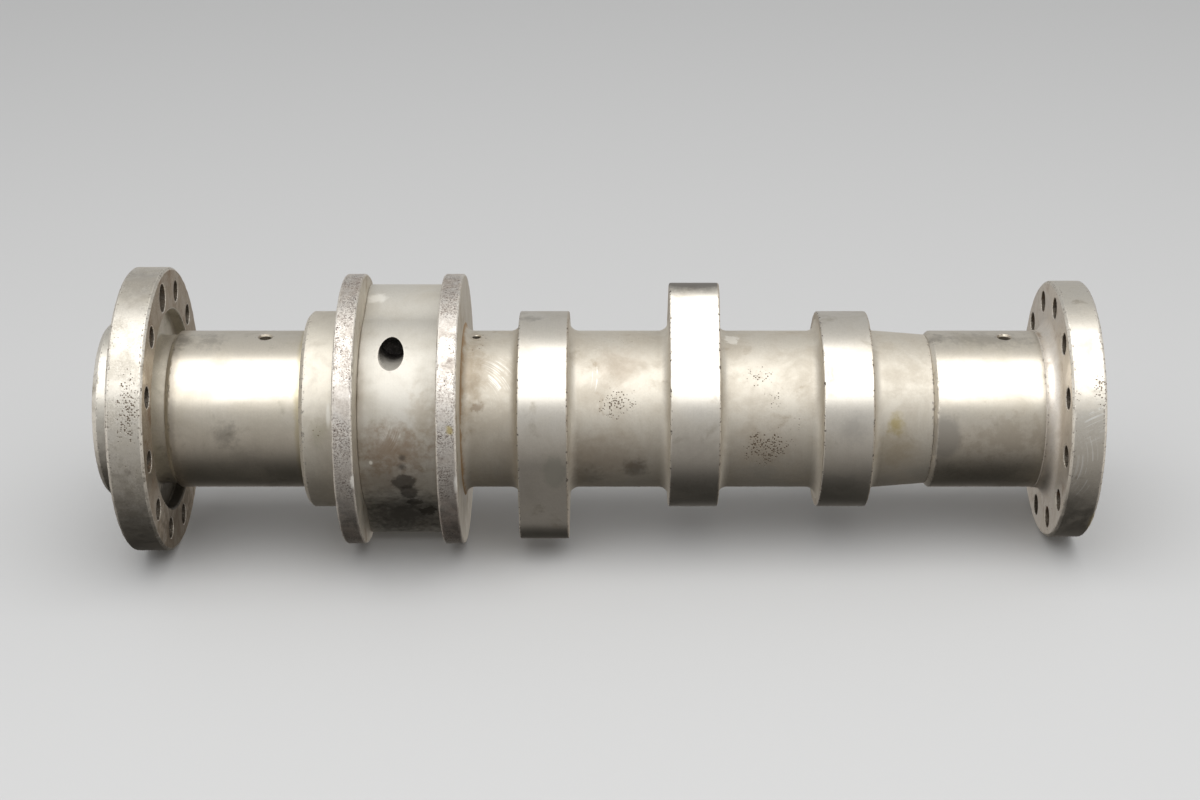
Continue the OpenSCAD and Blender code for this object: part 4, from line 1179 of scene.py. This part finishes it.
# ---------------------------------------------------------------------------------------------
# Floor, light and camera. The shaft rests on its two flanges on a plain pale floor, under one
# large soft light from above and in front. The metal doesn't mirror the floor, only the sky,
# which is darker below the horizon and brighter towards both ends of the shaft.
# ---------------------------------------------------------------------------------------------
floor_paint = bpy.data.materials.new("pale floor")
floor_paint.use_nodes = True
shader = floor_paint.node_tree.nodes["Principled BSDF"]
shader.inputs["Base Color"].default_value = (0.5, 0.5, 0.5, 1)
shader.inputs["Roughness"].default_value = 0.7
FLOOR_HALF, FLOOR_MIDDLE, FLOOR_GAP = 20000.0, 240.0, 0.05
LEFT_REST, RIGHT_REST = 9.0, 474.0
slope = (LEFT_RIM_R - RIGHT_RIM_R) / (RIGHT_REST - LEFT_REST)
floor_x = FLOOR_HALF * np.array([-1, 1, 1, -1]) + FLOOR_MIDDLE
floor_y = FLOOR_HALF * np.array([-1, -1, 1, 1])
floor_z = slope * (floor_x - LEFT_REST) - LEFT_RIM_R - FLOOR_GAP
floor_corners = np.stack([floor_x, floor_y, floor_z], axis=1) * MM
floor_mesh = bpy.data.meshes.new("floor")
floor_mesh.from_pydata(floor_corners.tolist(), [], [[0, 1, 2, 3]])
floor_mesh.materials.append(floor_paint)
floor = bpy.data.objects.new("floor", floor_mesh)
bpy.context.scene.collection.objects.link(floor)
floor.visible_glossy = False

world = bpy.data.worlds.new("studio")
world.use_nodes = True
sky = world.node_tree
direction = add(sky, "ShaderNodeTexCoord", {}, {}).outputs["Generated"]
way = add(sky, "ShaderNodeSeparateXYZ", {}, {0: direction}).outputs
height = way["Z"]
sideways = fade(sky, calc(sky, "ABSOLUTE", way["X"]), 0.55, 0.95)
shades = add(sky, "ShaderNodeValToRGB", {}, {0: calc(sky, "MULTIPLY_ADD", height, 0.5, 0.5)})
ramp = shades.color_ramp
ramp.elements[0].position, ramp.elements[0].color = 0.02, (0.03, 0.029, 0.026, 1)
ramp.elements[1].position, ramp.elements[1].color = 1.0, (0.62, 0.62, 0.61, 1)
for position, grey, warmth in (
    (0.08, 0.06, 0.06), (0.16, 0.18, 0.05), (0.31, 0.33, 0.04), (0.45, 0.42, 0.03),
    (0.55, 0.5, 0.0), (0.7, 0.52, -0.01),
):
    ramp.elements.new(position).color = (grey * (1 + warmth), grey, grey * (1 - warmth), 1)
sky.links.new(shades.outputs[0], sky.nodes["Background"].inputs["Color"])
brightness = calc(sky, "MULTIPLY_ADD", sideways, 1.2, 1.0)
sky.links.new(brightness, sky.nodes["Background"].inputs["Strength"])
bpy.context.scene.world = world

SHAFT_MIDDLE = 0.2455


def in_front(rise, distance):
    """A place at a distance in metres from the shaft's middle, `rise` degrees above the front,
    and the turn that makes a light or a camera there face the middle."""
    up = math.radians(rise)
    place = (SHAFT_MIDDLE, -distance * math.cos(up), distance * math.sin(up))
    return place, (math.radians(90) - up, 0, 0)


lamp = bpy.data.lights.new("key light", "AREA")
lamp.shape = "RECTANGLE"
lamp.size, lamp.size_y = 2.2, 1.85
lamp.energy = 28
light = bpy.data.objects.new("key light", lamp)
light.location, light.rotation_euler = in_front(68, 1.5)
bpy.context.scene.collection.objects.link(light)

camera = bpy.data.cameras.new("camera")
camera.sensor_width = 36
camera.lens = 62.7
camera.shift_x = -0.0142
camera.shift_y = 0.0072
camera.clip_start = 0.01
viewer = bpy.data.objects.new("camera", camera)
viewer.location, viewer.rotation_euler = in_front(25, 1.072)
bpy.context.scene.collection.objects.link(viewer)
bpy.context.scene.camera = viewer
bpy.context.scene.view_settings.view_transform = "Standard"
